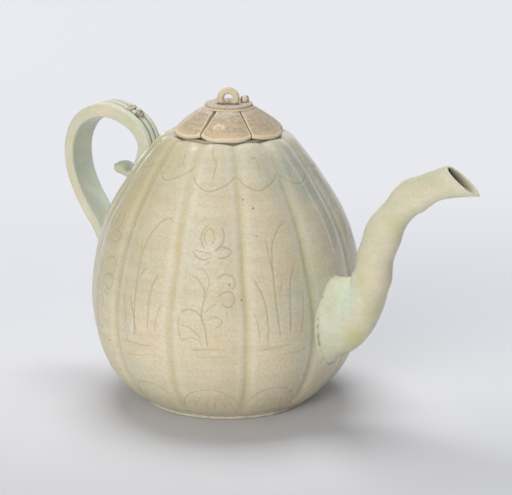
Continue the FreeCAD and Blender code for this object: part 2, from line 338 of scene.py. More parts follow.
def makeCamera():
    data = bpy.data.cameras.new("photoCamera")
    data.lens = cameraPlace["lens"]
    data.sensor_width = cameraPlace["sensor"]
    data.sensor_fit = "HORIZONTAL"
    camera = linked("photoCamera", data)
    aim(camera, cameraPlace["place"], cameraPlace["target"])
    bpy.context.scene.camera = camera


studio = {
    "floorFrontShade": (0.575, 0.575, 0.59), "floorNear": (0.70, 0.70, 0.72), "floorReach": (-0.20, 0.0),
    "floorBounce": (0.66, 0.65, 0.62), "floorSize": 24.0, "floorRough": 0.85, "floorShine": 0.1,
    "backdrop": (0.79, 0.80, 0.845), "backdropReach": (0.12, 0.60),
    "skyColor": (0.90, 0.93, 1.0), "skyStrength": 0.24,
    "skyInGlaze": 0.32, "backdropInGlaze": 1.0, "glazeReach": (0.72, 0.88),
    "lamps": [
        # name, place, target, width, height, watts, colour, seen in the glaze
        ("keySoftbox", (0.50, -1.45, 0.52), (0, 0, 0.09), 0.9, 0.7, 18.6, (1.0, 0.99, 0.965), False),
        ("topSoftbox", (-0.34, 0.29, 1.50), (0, 0, 0.0), 1.0, 0.8, 19.0, (0.98, 0.985, 1.0), False),
        ("edgeSoftbox", (-1.66, 1.22, 0.22), (0, 0, 0.10), 0.26, 0.80, 1.2, (0.86, 0.92, 1.0), True),
        ("rightStrip", (0.75, 1.30, 0.75), (0, 0, 0.12), 0.12, 1.30, 1.2, (0.88, 0.92, 1.0), True),
    ],
}
black = (0, 0, 0, 1)


def rgb(color):
    return (*color, 1.0)


def depthAlong(tree, coordinates, away):
    # how far a place lies towards the back, or how far a ray points there
    place = take(tree, "ShaderNodeTexCoord", output=coordinates)
    return vectorCalc("DOT_PRODUCT", place, away, output="Value")


def makePaper(away):
    # the lit paper runs into an evenly pale backdrop behind the object
    material = bpy.data.materials.new("paleFloor")
    material.use_nodes = True
    tree = material.node_tree
    inputs = tree.nodes["Principled BSDF"].inputs
    depth = depthAlong(tree, "Object", away)
    path = put(tree, "ShaderNodeLightPath")
    seen, glossy, passed = (nodeValue(tree, path.outputs[f"Is {ray} Ray"])
                            for ray in ("Camera", "Glossy", "Transmission"))
    share = ranged(depth, *studio["backdropReach"]) * calc("ADD", seen, glossy + passed, clamp=True)
    # painted shade: the paper seen by the camera darkens towards the front
    step = ranged(depth, *studio["floorReach"], kind="LINEAR")
    paper = mixed(step, rgb(studio["floorFrontShade"]), rgb(studio["floorNear"]))
    lit = mixed(seen, rgb(studio["floorBounce"]), paper)
    join(mixed(share, lit, black), inputs["Base Color"])
    join(mixed(share, black, rgb(studio["backdrop"])), inputs["Emission Color"])
    join(1.0, inputs["Emission Strength"])
    join(studio["floorRough"], inputs["Roughness"])
    join(studio["floorShine"], inputs["Specular IOR Level"])
    return material


def makeSky(away):
    # a soft even light, with the pale backdrop mirrored in the glaze
    world = bpy.context.scene.world or bpy.data.worlds.new("studioWorld")
    bpy.context.scene.world = world
    world.use_nodes = True
    tree = world.node_tree
    inputs = tree.nodes["Background"].inputs
    join(rgb(studio["skyColor"]), inputs["Color"])
    ends = (studio["skyInGlaze"], studio["backdropInGlaze"])
    mirrored = ranged(depthAlong(tree, "Generated", away), *studio["glazeReach"], ends)
    shine = take(tree, "ShaderNodeLightPath", output="Is Glossy Ray")
    strengths = {0: shine, 2: studio["skyStrength"], 3: mirrored}
    join(take(tree, "ShaderNodeMix", strengths, data_type="FLOAT"), inputs["Strength"])


def makeStudio():
    half = studio["floorSize"] / 2
    corners = [(x * half, y * half, 0) for x, y in ((-1, -1), (1, -1), (1, 1), (-1, 1))]
    floorMesh = bpy.data.meshes.new("studioFloor")
    floorMesh.from_pydata(corners, [], [(0, 1, 2, 3)])
    floor = linked("studioFloor", floorMesh)
    look = Vector(cameraPlace["target"]) - Vector(cameraPlace["place"])
    away = tuple((look * Vector((1, 1, 0))).normalized())
    floorMesh.materials.append(makePaper(away))
    makeSky(away)
    for name, place, target, width, height, watts, color, seenInGlaze in studio["lamps"]:
        data = bpy.data.lights.new(name, "AREA")
        data.shape = "RECTANGLE"
        data.size, data.size_y = width, height
        data.energy, data.color = watts, color
        lamp = linked(name, data)
        aim(lamp, place, target)
        lamp.visible_glossy = seenInGlaze
        lamp.visible_camera = False
    bpy.context.scene.view_settings.view_transform = "Standard"


def patchGroup():
    # soft cloudy areas: 0 to 1 over the surface
    tree, given, end = newTree("glazePatches", "ShaderNodeTree", [
        ("Vector", "Vector", None), ("Patch size", "Float", 0.02), ("Seed", "Float", 0.0),
        ("Low", "Float", 0.4), ("High", "Float", 0.65), ("Detail", "Float", 3.0)], [("Mask", "Float")])
    noise = take(tree, "ShaderNodeTexNoise", {
        "Vector": given["Vector"], "W": given["Seed"], "Scale": 1.0 / given["Patch size"],
        "Detail": given["Detail"], "Roughness": 0.55}, noise_dimensions="4D")
    join(ranged(noise, given["Low"], given["High"]), end.inputs["Mask"])
    return tree


def speckGroup():
    # small iron spots, a few per square centimetre
    tree, given, end = newTree("ironSpecks", "ShaderNodeTree", [
        ("Vector", "Vector", None), ("Spacing", "Float", 0.006), ("Spot share", "Float", 0.12),
        ("Kept", "Float", 0.3)], [("Mask", "Float")])
    inputs = {"Vector": given["Vector"], "Scale": 1.0 / given["Spacing"]}
    cells = put(tree, "ShaderNodeTexVoronoi", inputs).outputs
    chance = put(tree, "ShaderNodeSeparateColor", [nodeValue(tree, cells["Color"])]).outputs
    size = given["Spot share"] * (nodeValue(tree, chance[1]) + 0.35)
    near = calc("SUBTRACT", 1.0, nodeValue(tree, cells["Distance"]) / size, clamp=True)
    kept = calc("LESS_THAN", nodeValue(tree, chance[0]), given["Kept"])
    join(calc("MULTIPLY", near, 2.2, clamp=True) * kept, end.inputs["Mask"])
    return tree


def crazeGroup():
    # the fine net of glaze cracks
    tree, given, end = newTree("glazeCrazing", "ShaderNodeTree", [
        ("Vector", "Vector", None), ("Net size", "Float", 0.004), ("Line share", "Float", 0.04),
        ("Waver", "Float", 0.0016)], [("Mask", "Float")])
    place, scale = given["Vector"], 1.0 / given["Net size"]
    inputs = {"Vector": place, "Scale": scale, "Detail": 1.0}
    bend = take(tree, "ShaderNodeTexNoise", inputs, "Color")
    shift = vectorCalc("SUBTRACT", bend, (0.5, 0.5, 0.5))
    inputs = {0: shift, "Scale": given["Waver"]}
    pull = take(tree, "ShaderNodeVectorMath", inputs, operation="SCALE")
    inputs = {"Vector": vectorCalc("ADD", place, pull), "Scale": scale}
    net = take(tree, "ShaderNodeTexVoronoi", inputs, "Distance", feature="DISTANCE_TO_EDGE")
    join(calc("SUBTRACT", 1.0, net / given["Line share"], clamp=True), end.inputs["Mask"])
    return tree


def tintGroup():
    # lays one colour over another through a mask
    tree, given, end = newTree("tintOver", "ShaderNodeTree", [
        ("Color", "Color", None), ("Tint", "Color", None), ("Mask", "Float", 0.0),
        ("Amount", "Float", 1.0)], [("Color", "Color")])
    share = calc("MULTIPLY", given["Mask"], given["Amount"], clamp=True)
    join(mixed(share, given["Color"], given["Tint"]), end.inputs["Color"])
    return tree


groups = {}


def makeGroups():
    groups.update(patches=patchGroup(), specks=speckGroup(), crazing=crazeGroup(), tint=tintGroup())


def useGroup(tree, name, inputs):
    return take(tree, "ShaderNodeGroup", inputs, node_tree=groups[name])


glazeNames = ("bodyGlaze", "spoutGlaze", "handleGlaze", "lidGlaze", "footClay", "bareClay")
glazeLooks = {  # each value for the glazes and clays in that order
    "base": ((0.645, 0.555, 0.395), (0.61, 0.575, 0.43), (0.66, 0.62, 0.48),
             (0.475, 0.38, 0.25), (0.52, 0.43, 0.31), (0.4, 0.37, 0.28)),
    "second": ((0.6, 0.56, 0.42), (0.54, 0.54, 0.38), (0.6, 0.62, 0.5),
               (0.42, 0.35, 0.24), (0.44, 0.36, 0.25), (0.58, 0.56, 0.47)),
    "secondSize": (0.045, 0.02, 0.028, 0.012, 0.01, 0.0022),
    "warm": ((0.67, 0.5, 0.3), (0.67, 0.57, 0.44), (0.72, 0.54, 0.37),
             (0.56, 0.4, 0.24), (0.56, 0.38, 0.24), (0.46, 0.34, 0.22)),
    "warmSize": (0.016, 0.009, 0.012, 0.008, 0.006, 0.0014),
    "warmAmount": (0.65, 0.5, 0.5, 0.7, 0.6, 0.35),
    # the body's cool colour is a dark green used as painted shade on its less lit side
    "cool": ((0.33, 0.36, 0.285), (0.58, 0.66, 0.54), (0.52, 0.6, 0.5),
             (0.54, 0.475, 0.4), (0.6, 0.64, 0.53), (0.4, 0.38, 0.34)),
    "coolAmount": (0.9, 1.0, 1.0, 0.85, 0.85, 0.5),
    # the pool colour darkens glaze pooled in cuts and grooves, and also serves as painted shade inside the
    # spout, in nooks and on lobes that get less light
    "poolAndShade": ((0.33, 0.285, 0.165), (0.17, 0.16, 0.1), (0.2, 0.2, 0.14),
             (0.19, 0.155, 0.115), (0.2, 0.15, 0.1), (0.14, 0.1, 0.07)),
    "poolAmount": (0.75, 0.85, 0.75, 0.85, 0.7, 0.8),
    "pale": ((0.74, 0.72, 0.62), (0.78, 0.76, 0.64), (0.8, 0.79, 0.72),
             (0.73, 0.63, 0.47), (0.66, 0.6, 0.48), (0.82, 0.76, 0.68)),
    "speck": ((0.16, 0.1, 0.05), (0.26, 0.18, 0.1), (0.26, 0.18, 0.1),
              (0.2, 0.12, 0.06), (0.16, 0.1, 0.06), (0.14, 0.08, 0.05)),
    "speckAmount": (0.8, 0.6, 0.6, 0.5, 0.8, 0.8),
    "speckKept": (0.07, 0.04, 0.05, 0.05, 0.3, 0.3),
    "rough": (0.32, 0.34, 0.32, 0.5, 0.78, 0.8),
    "coat": (0.45, 0.35, 0.35, 0.1, 0.0, 0.0),
    "coatRough": (0.07, 0.1, 0.1, 0.3, 0.3, 0.3),
    "bump": (0.22, 0.2, 0.18, 0.4, 0.7, 0.8),
    "grain": (0.2, 0.12, 0.12, 0.29, 0.25, 0.3),
    "blush": ((0.66, 0.52, 0.34), (0.7, 0.55, 0.42), (0.78, 0.58, 0.38),
              (0.72, 0.53, 0.34), (0.6, 0.52, 0.4), (0.44, 0.25, 0.1)),
    "olive": ((0.46, 0.405, 0.19), (0.5, 0.48, 0.2), (0.56, 0.51, 0.27),
              (0.4, 0.33, 0.18), (0.4, 0.38, 0.24), (0.3, 0.26, 0.16)),
    "chalkAmount": (0.3, 0.3, 0.45, 0.2, 0.25, 0.55),
    "streak": ((0.5, 0.42, 0.27), (0.52, 0.48, 0.34), (0.56, 0.5, 0.38),
               (0.36, 0.28, 0.18), (0.36, 0.3, 0.22), (0.3, 0.2, 0.12)),
    "streakAmount": (0.34, 0.25, 0.28, 0.55, 0.3, 0.3),
    "streakSize": (0.012, 0.01, 0.006, 0.005, 0.004, 0.002),
    "crazing": (0.16, 0.14, 0.12, 0.1, 0.0, 0.0),
}
glazePatches = {  # size as a share of one of the sizes above, or in metres; seed, low, high, detail
    "clouds": ("secondSize", 1.0, 1.3, 0.38, 0.62, 3.0),
    "warmth": ("warmSize", 1.0, 4.7, 0.50, 0.72, 3.0),
    "edges": ("warmSize", 0.6, 8.1, 0.30, 0.70, 3.0),
    "chalk": ("warmSize", 1.3, 6.4, 0.52, 0.70, 3.0),
    "grains": ("", 0.0014, 2.2, 0.42, 0.62, 4.0),
    "glow": ("", 0.0017, 9.6, 0.48, 0.66, 4.0),
    "streaks": ("streakSize", 1.0, 3.1, 0.40, 0.64, 4.0),
}
glazeLayers = [  # colour, mask and amount, in the order in which they are laid on
    ("second", "clouds", 1.0), ("warm", "warmth", "warmAmount"), ("pale", "chalk", "chalkAmount"),
    ("streak", "streaks", "streakAmount"), ("cool", "softCool", "coolAmount"),
    ("darker", "grains", "darkGrain"), ("pale", "glow", "grain"), ("darker", "crazing", "crazing"),
    ("olive", "softOlive", 0.9), ("blush", "blush", 0.9), ("poolAndShade", "poolAndShade", "poolAmount"),
    ("pale", "pale", 0.85), ("speck", "specks", "speckAmount"),
]
glazeSurface = {
    "streakStretch": (0.4, 0.4, 3.2), "darker": 0.72,
    "speckSpacing": 0.0065, "speckShare": 0.13, "netSize": 0.0045, "lineShare": 0.035,
    "rippleScale": 420.0, "edgeHeight": 0.7, "speckHeight": 0.6, "reliefDepth": 0.0005,
    "roughSpread": 0.10,
}


def glazeMasks(tree, place, look):
    # every mask that a layer can use: clouds of several sizes, specks, cracks and painted ones
    form, masks = glazeSurface, {}
    streaky = vectorCalc("MULTIPLY", place, form["streakStretch"])
    for label, (size, share, seed, low, high, detail) in glazePatches.items():
        masks[label] = useGroup(tree, "patches", {
            "Vector": streaky if label == "streaks" else place, "Patch size": look.get(size, 1.0) * share,
            "Seed": seed, "Low": low, "High": high, "Detail": detail})
    for label in ("poolAndShade", "pale", "cool", "olive", "blush"):
        masks[label] = take(tree, "ShaderNodeAttribute", output="Fac", attribute_name=label)
    masks["specks"] = useGroup(tree, "specks", {
        "Vector": place, "Spacing": form["speckSpacing"], "Spot share": form["speckShare"],
        "Kept": look["speckKept"]})
    masks["crazing"] = useGroup(tree, "crazing", {
        "Vector": place, "Net size": form["netSize"], "Line share": form["lineShare"]})
    masks["softCool"] = calc("MULTIPLY", masks["cool"], masks["edges"] * 0.5 + 0.6, clamp=True)
    masks["softOlive"] = calc("MULTIPLY", masks["olive"], masks["edges"] * 0.4 + 0.7, clamp=True)
    return masks


def makeGlaze(name):
    form = glazeSurface
    look = {label: values[glazeNames.index(name)] for label, values in glazeLooks.items()}
    look["darker"] = tuple(c * form["darker"] for c in look["base"])
    look["darkGrain"] = look["grain"] * 2
    material = bpy.data.materials.new(name)
    material.use_nodes = True
    tree = material.node_tree
    inputs = tree.nodes["Principled BSDF"].inputs
    place = take(tree, "ShaderNodeTexCoord", output="Object")
    masks = glazeMasks(tree, place, look)
    color = rgb(look["base"])
    for tint, mask, amount in glazeLayers:
        color = useGroup(tree, "tint", {"Color": color, "Tint": rgb(look[tint]), "Mask": masks[mask],
                                        "Amount": look.get(amount, amount)})
    join(color, inputs["Base Color"])
    spread = form["roughSpread"]
    join(masks["edges"] * spread + (look["rough"] - spread / 2), inputs["Roughness"])
    join(look["coat"], inputs["Coat Weight"])
    join(look["coatRough"], inputs["Coat Roughness"])
    waves = {"Vector": place, "Scale": form["rippleScale"], "Detail": 3.0}
    ripple = take(tree, "ShaderNodeTexNoise", waves)
    height = ripple + masks["edges"] * form["edgeHeight"] - masks["specks"] * form["speckHeight"]
    relief = {"Strength": look["bump"], "Distance": form["reliefDepth"], "Height": height}
    join(take(tree, "ShaderNodeBump", relief), inputs["Normal"])
    return material


bodyForm = {
    "radius": 88.88, "top": 174.5, "lobes": 12,
    "grooveDepth": 2.9, "softening": 2.3, "channelDepth": 0.45, "channelWidth": 2.1,
    "bow": [(-75, -1.9), (-45, 1.3), (-15, 2.3), (-105, -1.2)], "bowReach": 8.5,
    "shadedOchreTurn": -138.0, "grooveGlaze": 0.46, "flankPlace": 4.6, "flankWidth": 1.9, "flankPale": 0.24,
    # painted shade: darker green spots on the lobes on the spout's side, which get less light
    "sageShade": [(61, 2, 152, 19, 0.72), (58, 24, 150, 18, 0.42), (52, -13, 160, 12, 0.30),
             (80, 14, 122, 15, 0.6), (84, -20, 94, 8, 0.32), (85, -19.5, 78, 8, 0.42),
             (84, -20, 60, 9, 0.38), (79, -20, 38, 10, 0.25), (78, -26, 80, 16, 0.24)],
    # painted highlights: pale spots where the lobes' crests catch the light under the lid
    "glints": [(3.5, -38, 175.8, 2.0, 0.55), (6.6, -41.6, 173.6, 2.0, 0.75),
               (15, -34.6, 175.6, 2.2, 0.65), (32, -19, 175.8, 2.2, 0.5), (37, -9.4, 175.9, 2.0, 0.5),
               (41, -11.9, 173.4, 2.2, 0.6), (44, -12.8, 170.5, 1.6, 0.4)],
    "wall": 4.6, "floor": 12.0, "roof": 169.9, "mouth": 27.0, "collar": 31.5,
    "outline": [  # height above the foot, radius and groove depth, as shares
        (0.000, 0.632, 0.30), (0.032, 0.722, 0.45), (0.064, 0.786, 0.65), (0.096, 0.838, 0.80),
        (0.147, 0.899, 0.95), (0.223, 0.958, 1.00), (0.298, 0.989, 1.00), (0.376, 1.000, 1.00),
        (0.450, 0.992, 1.00), (0.528, 0.971, 1.00), (0.604, 0.938, 1.00), (0.680, 0.890, 1.00),
        (0.756, 0.820, 0.95), (0.832, 0.729, 0.85), (0.898, 0.643, 0.75), (0.960, 0.549, 0.65)],
    "footTop": 2.8,
    "shoulder": [(44.9, 172.4, 0.65), (42.3, 174.5, 0.62), (39.9, 175.9, 0.60), (37.6, 176.6, 0.55),
                 (35.4, 176.5, 0.4), (33.4, 175.6, 0.2), (32.2, 174.5, 0.0)],
    "base": [(0, 6.5), (23, 6.5), (46.2, 6.5), (47.3, 6.1), (47.7, 5.2), (47.7, 2.8)],
    "grid": 1.75,
}
outerZone, innerZone = 2, 6

# Incised lines on one lobe: turn from the lobe's middle in degrees and height, with the
# line's half width and depth, drawn again after common reed, flower and lotus-petal patterns
mainCut = (0.74, 0.22)
lightCut = (0.62, 0.16)
softCut = (0.52, 0.08)

collarArc = [
    (-15, 160), (-12.5, 156.5), (-7, 152.9), (-2.2, 151.6), (3, 153.2), (9, 156), (13, 158.8), (15, 160)]
baseCuts = [
    (lightCut, [(-15, 12), (-12.5, 18), (-9.5, 23.5), (-4.3, 27.6), (1.5, 28.4), (7, 25), (11, 19.5),
                (15, 11)]),
    (softCut, [(-9, 12), (-6.5, 18), (-3.5, 22.5)]),
    (softCut, [(-4, 10), (-2.2, 16), (-0.8, 21.5)]),
    (softCut, [(1.5, 9.5), (1.8, 15.5), (1.7, 21.5)]),
    (softCut, [(7, 10), (6, 16), (4.6, 21)]),
    (softCut, [(11.2, 11), (9.6, 16), (7.6, 20)]),
]
collarCurl = [
    (lightCut, [(-3, 175), (-2, 170), (0.5, 167.5), (0.1, 163), (-1, 157)]),
    (lightCut, [(-4.5, 164.5), (-3.4, 162.6), (-2.2, 162)]),
]
collarHook = [
    (lightCut, [(-4.3, 172), (-2.4, 169), (0, 170), (1, 167), (0.8, 160)]),
]
collarSpiral = [
    (lightCut, [(2.2, 172), (4.4, 169.5), (4.6, 165.5), (2.2, 163.4), (0.8, 166), (2.4, 168)]),
]
crossedScratches = [
    (softCut, [(7.6, 158), (10.7, 151)]),
    (softCut, [(10.6, 157.5), (8.2, 151.5)]),
]
flowerCuts = [
    (mainCut, [(0.5, 134), (-2.4, 132), (-4, 127), (-3.4, 122.5), (-1.5, 119)]),
    (mainCut, [(4.5, 134), (6.4, 130), (6, 123), (4.5, 121), (2.2, 118.5)]),
    (lightCut, [(-0.25, 121.7), (-2.3, 124.4), (-2.6, 128), (-0.6, 131.4), (1.3, 130), (2.2, 126.7),
                (1.4, 123), (-0.25, 121.7)]),
    (mainCut, [(-8, 119), (-5.5, 115), (-0.5, 114), (2, 117)]),
    (lightCut, [(-8, 119), (-3, 118), (2, 117.5)]),
    (mainCut, [(2, 117.5), (5, 121), (10, 118), (7.6, 115), (3.2, 114.6)]),
    (lightCut, [(-2.4, 112), (-1, 110.6), (0.4, 112.4), (2.2, 110.8)]),
    (lightCut, [(-5.5, 107), (-3, 108), (-0.5, 105), (0.5, 100), (-1, 93)]),
    (mainCut, [(-8, 104), (-5, 102.5), (-2.4, 98), (-1, 93), (-1.75, 87), (-2.4, 80), (-1, 72),
               (0.1, 58)]),
    (mainCut, [(3.25, 102), (7, 105), (10.75, 102.5), (11, 97.5), (8.9, 95)]),
    (mainCut, [(3.25, 90), (6.4, 94), (9.5, 94), (10.5, 89), (8.9, 85), (4.5, 87.5)]),
    (lightCut, [(-1.75, 80), (2, 86), (4.5, 87)]),
    (lightCut, [(-0.5, 76), (3.25, 79), (5.5, 76), (4, 72.5), (2, 74)]),
    (lightCut, [(7.6, 83), (7.25, 77)]),
    (mainCut, [(-11, 80), (-7.4, 83), (-3, 80), (-1.75, 73)]),
    (lightCut, [(-11.5, 72), (-8, 72), (-4.25, 68), (-1.75, 62.5)]),
    (lightCut, [(-11, 80), (-11, 70), (-9.25, 63), (-6.75, 65), (-3, 63), (-1.75, 58)]),
    (lightCut, [(-7.4, 56), (-0.5, 58), (5, 58)]),
    (softCut, [(-5.5, 52), (9.5, 53)]),
]
reedCuts = [
    (mainCut, [(-3, 60), (-3, 80), (-3, 97), (-2.75, 107), (-1.75, 118), (0.75, 127), (4, 132.5),
               (8.25, 135), (11.4, 132)]),
    (lightCut, [(-4.25, 121), (-3.25, 108)]),
    (mainCut, [(2, 107), (-2.4, 97.5)]),
    (mainCut, [(8, 103), (5.75, 97), (4.5, 87), (4.25, 65)]),
    (lightCut, [(11.4, 85), (9.5, 80), (7.6, 63)]),
    (mainCut, [(-6, 87), (-3.6, 75), (-1.75, 63)]),
    (lightCut, [(-10.5, 87), (-8, 73), (-7.75, 60)]),
    (softCut, [(-9, 73), (-8.6, 60)]),
    (softCut, [(-6.6, 70), (-6.2, 60)]),
    (lightCut, [(-11.75, 56), (-3, 55.6), (7, 56)]),
    (softCut, [(-11.75, 46), (-3, 47.5), (4.5, 50)]),
]
tallReedCuts = [
    (mainCut, [(8.25, 132.5), (4.5, 131), (1.4, 127), (-1.1, 121), (-2, 113), (-2.1, 97), (-1.4, 80),
               (-0.1, 63)]),
    (lightCut, [(-3.6, 126), (-3.4, 117), (-2.25, 105)]),
    (mainCut, [(-11.75, 103), (-8.6, 95), (-6.75, 87), (-5.75, 75), (-5.75, 60)]),
    (lightCut, [(-12.1, 83), (-10.25, 73), (-9.25, 62.5)]),
    (lightCut, [(2.25, 101), (0, 92)]),
    (mainCut, [(8.9, 108), (5.75, 100), (4.5, 87), (4, 65)]),
    (lightCut, [(11, 92), (10, 80), (8.25, 63)]),
    (lightCut, [(-10, 56), (-3, 57.5), (5, 58.7)]),
    (softCut, [(-2, 52), (12, 53)]),
]

# lines, lift of the collar's arc, then first lobe, step to the next and number of copies
lobeDesigns = {
    "flowerLobe": (flowerCuts + collarCurl, 0.0, (4, 6, 2)),
    "sideFlowerLobe": (flowerCuts + collarCurl, 6.0, (2, 6, 2)),
    "reedLobe": (reedCuts + collarSpiral, 3.9, (1, 4, 3)),
    "tallReedLobe": (tallReedCuts + collarHook + crossedScratches, 0.0, (3, 4, 3)),
    "plainLobe": ([], 0.0, (0, 6, 2)),
}


def plainRun(corners, spacing):
    # a stretch of the profile with no grooves
    run = roundedProfile(corners, spacing)
    return np.column_stack([run, np.zeros(len(run))])


def bodyProfile():
    # the wall's whole outline: radius, height, groove share, zone and length along it
    form = bodyForm
    low, top, floor, roof = form["footTop"], form["top"], form["floor"], form["roof"]
    stations = [(r * form["radius"], low + h * (top - low), g) for h, r, g in form["outline"]]
    outer = smoothLine(stations + form["shoulder"], 0.4)
    grooves = [(r - g * form["grooveDepth"], z) for r, z, g in stations]
    inner = []
    for before, here, after in zip(grooves, grooves[1:], grooves[2:]):
        run, lift = after[0] - before[0], after[1] - before[1]
        size = math.hypot(run, lift)
        place = (here[0] - form["wall"] * lift / size, here[1] + form["wall"] * run / size)
        if floor < place[1] < roof:
            inner.append(place)
    start = inner[0][0] - inner[0][1] + floor
    inner = [(start, floor)] + inner + [(form["collar"], roof)]
    inside = smoothLine([(r, z, 0) for r, z in inner[::-1]], 2.0)
    foot, shoulderEnd = form["base"][-1], form["shoulder"][-1][0]
    mouth, collar = form["mouth"], form["collar"]
    parts = [
        (plainRun(form["base"], 12), 8.0),
        (plainRun([foot, (stations[0][0] - 0.6, low)], 3), 3.0),
        (outer, form["grid"]),
        (plainRun([(shoulderEnd, top), (collar, top), (mouth, top)], 3), 3.0),
        (plainRun([(mouth, top), (mouth, roof)], 2.4), 2.4),
        (plainRun([(mouth, roof), (collar - 0.1, roof)], 3), 3.0),
        (inside, 5.0),
        (plainRun([(start - 1, floor), (20, floor), (0, floor)], 12), 12.0),
    ]
    points = np.vstack([part for part, _ in parts])
    zone = np.concatenate([np.full(len(part), k) for k, (part, _) in enumerate(parts)])
    steps = np.linalg.norm(np.diff(points[:, :2], axis=0), axis=1)
    keep = np.concatenate([[True], steps > 1e-6])
    points, zone = points[keep], zone[keep]
    steps = np.linalg.norm(np.diff(points[:, :2], axis=0), axis=1)
    return points, zone, np.concatenate([[0.0], np.cumsum(steps)]), [spacing for _, spacing in parts]


profilePoints, profileZone, profileAlong, zoneSpacing = bodyProfile()
outerPart = profileZone == outerZone


def alongProfile(place, values):
    return np.interp(place, profileAlong, values)


def outerCrest(height):
    # crest radius and groove share of the outer wall at a height
    radius, z, groove = profilePoints[outerPart].T
    return np.interp(height, z, radius), np.interp(height, z, groove)


def degreesApart(turn, place):
    return (turn - place + 180) % 360 - 180


def bowShift(turn, height):
    # how far, in radians, the grooves below the belly lean from even lobes, as on the old pot
    low = smoothStep(height, 112, 62) * smoothStep(height, 3, 22)
    total = np.zeros(np.shape(turn))
    for place, degrees in bodyForm["bow"]:
        apart = degreesApart(np.degrees(turn), place)
        total += math.radians(degrees) * bell(apart, 0, bodyForm["bowReach"])
    return total * low


def outerRadius(turn, height):
    # the outer wall's radius at a turn in radians from the spout's side
    form = bodyForm
    turn = turn - bowShift(turn - bowShift(turn, height), height)
    half = math.pi / form["lobes"]
    local = np.abs((np.asarray(turn) + half) % (2 * half) - half)
    crest, groove = outerCrest(height)
    gap = (half - local) * crest
    share = np.clip(1 - np.sqrt(gap**2 + form["softening"] ** 2) / (half * crest), 0, None)
    channel = form["channelDepth"] * bell(gap, 0, form["channelWidth"])
    return crest - groove * (form["grooveDepth"] * share**2 + channel)


panelForm = {
    "lineStep": 0.3, "vertexStep": 0.95, "taperEnd": 0.35, "taperReach": 3.0,
    "glazeReach": (0.2, 3.5), "glazeBase": 0.60, "glazePerDepth": 1.4,
    "edgeColumns": (0, 0.5, 1.0, 1.6, 2.4, 3.6), "edgeMargin": 5.2, "lineClear": 0.85,
    "edgeClear": 0.35, "closest": 0.28,
}


def cutLines(cuts):
    # the incised lines as close samples with width, depth and glaze, and as vertex places
    form, radius = panelForm, bodyForm["radius"]
    outerZ, outerAlong = profilePoints[outerPart, 1], profileAlong[outerPart]
    fine, placed = [], []
    for (halfWidth, depth), line in cuts:
        flat = np.array([(math.radians(turn) * radius, np.interp(z, outerZ, outerAlong))
                         for turn, z in line])
        for spacing, store in ((form["lineStep"], fine), (form["vertexStep"], placed)):
            path = smoothLine(flat, spacing)
            ends = np.minimum(np.arange(len(path)), np.arange(len(path))[::-1]) * spacing
            taper = form["taperEnd"] + (1 - form["taperEnd"]) * smoothStep(ends, 0, form["taperReach"])
            width = halfWidth * taper
            if store is fine:
                strength = form["glazeBase"] + depth * form["glazePerDepth"]
                glaze = smoothStep(ends, *form["glazeReach"]) * strength
                store.append(np.column_stack([path, width, depth * taper, glaze]))
                continue
            squeeze = alongProfile(path[:, 1], profilePoints[:, 0]) / radius
            tangent = np.gradient(path, axis=0) * np.column_stack([squeeze, np.ones(len(path))])
            tangent /= np.linalg.norm(tangent, axis=1, keepdims=True)
            across = np.column_stack([-tangent[:, 1], tangent[:, 0]]) * width[:, None]
            across[:, 0] /= squeeze
            store += [path, path + across, path - across]
    return np.vstack(fine), np.vstack(placed)


def panelGrid(edge):
    # the rest of a panel's vertices: close rows outside, sparse ones where nobody looks
    close, inset = np.array(panelForm["edgeColumns"]), edge - panelForm["edgeMargin"]
    middle = np.linspace(-inset, inset, int(2 * inset / bodyForm["grid"]))
    columns = np.concatenate([close - edge, middle, edge - close[::-1]])
    coarse = np.linspace(-edge, edge, 5)
    grid = []
    for zone, spacing in enumerate(zoneSpacing):
        rows = profileAlong[profileZone == zone]
        if zone in (outerZone, innerZone):
            rows = np.linspace(rows[0], rows[-1], int(round((rows[-1] - rows[0]) / spacing)) + 1)
        wanted = columns if zone == outerZone else coarse
        grid += [np.column_stack([wanted, np.full(len(wanted), row)]) for row in rows]
    return np.vstack(grid)


def cutGaps(places, fine):
    # squared distances on the wall from the places to all line samples, block by block
    stretch = alongProfile(places[:, 1], profilePoints[:, 0]) / bodyForm["radius"]
    for start in range(0, len(places), 500):
        block = slice(start, start + 500)
        dx = (places[block, 0][:, None] - fine[None, :, 0]) * stretch[block][:, None]
        dy = places[block, 1][:, None] - fine[None, :, 1]
        yield block, dx**2 + dy**2


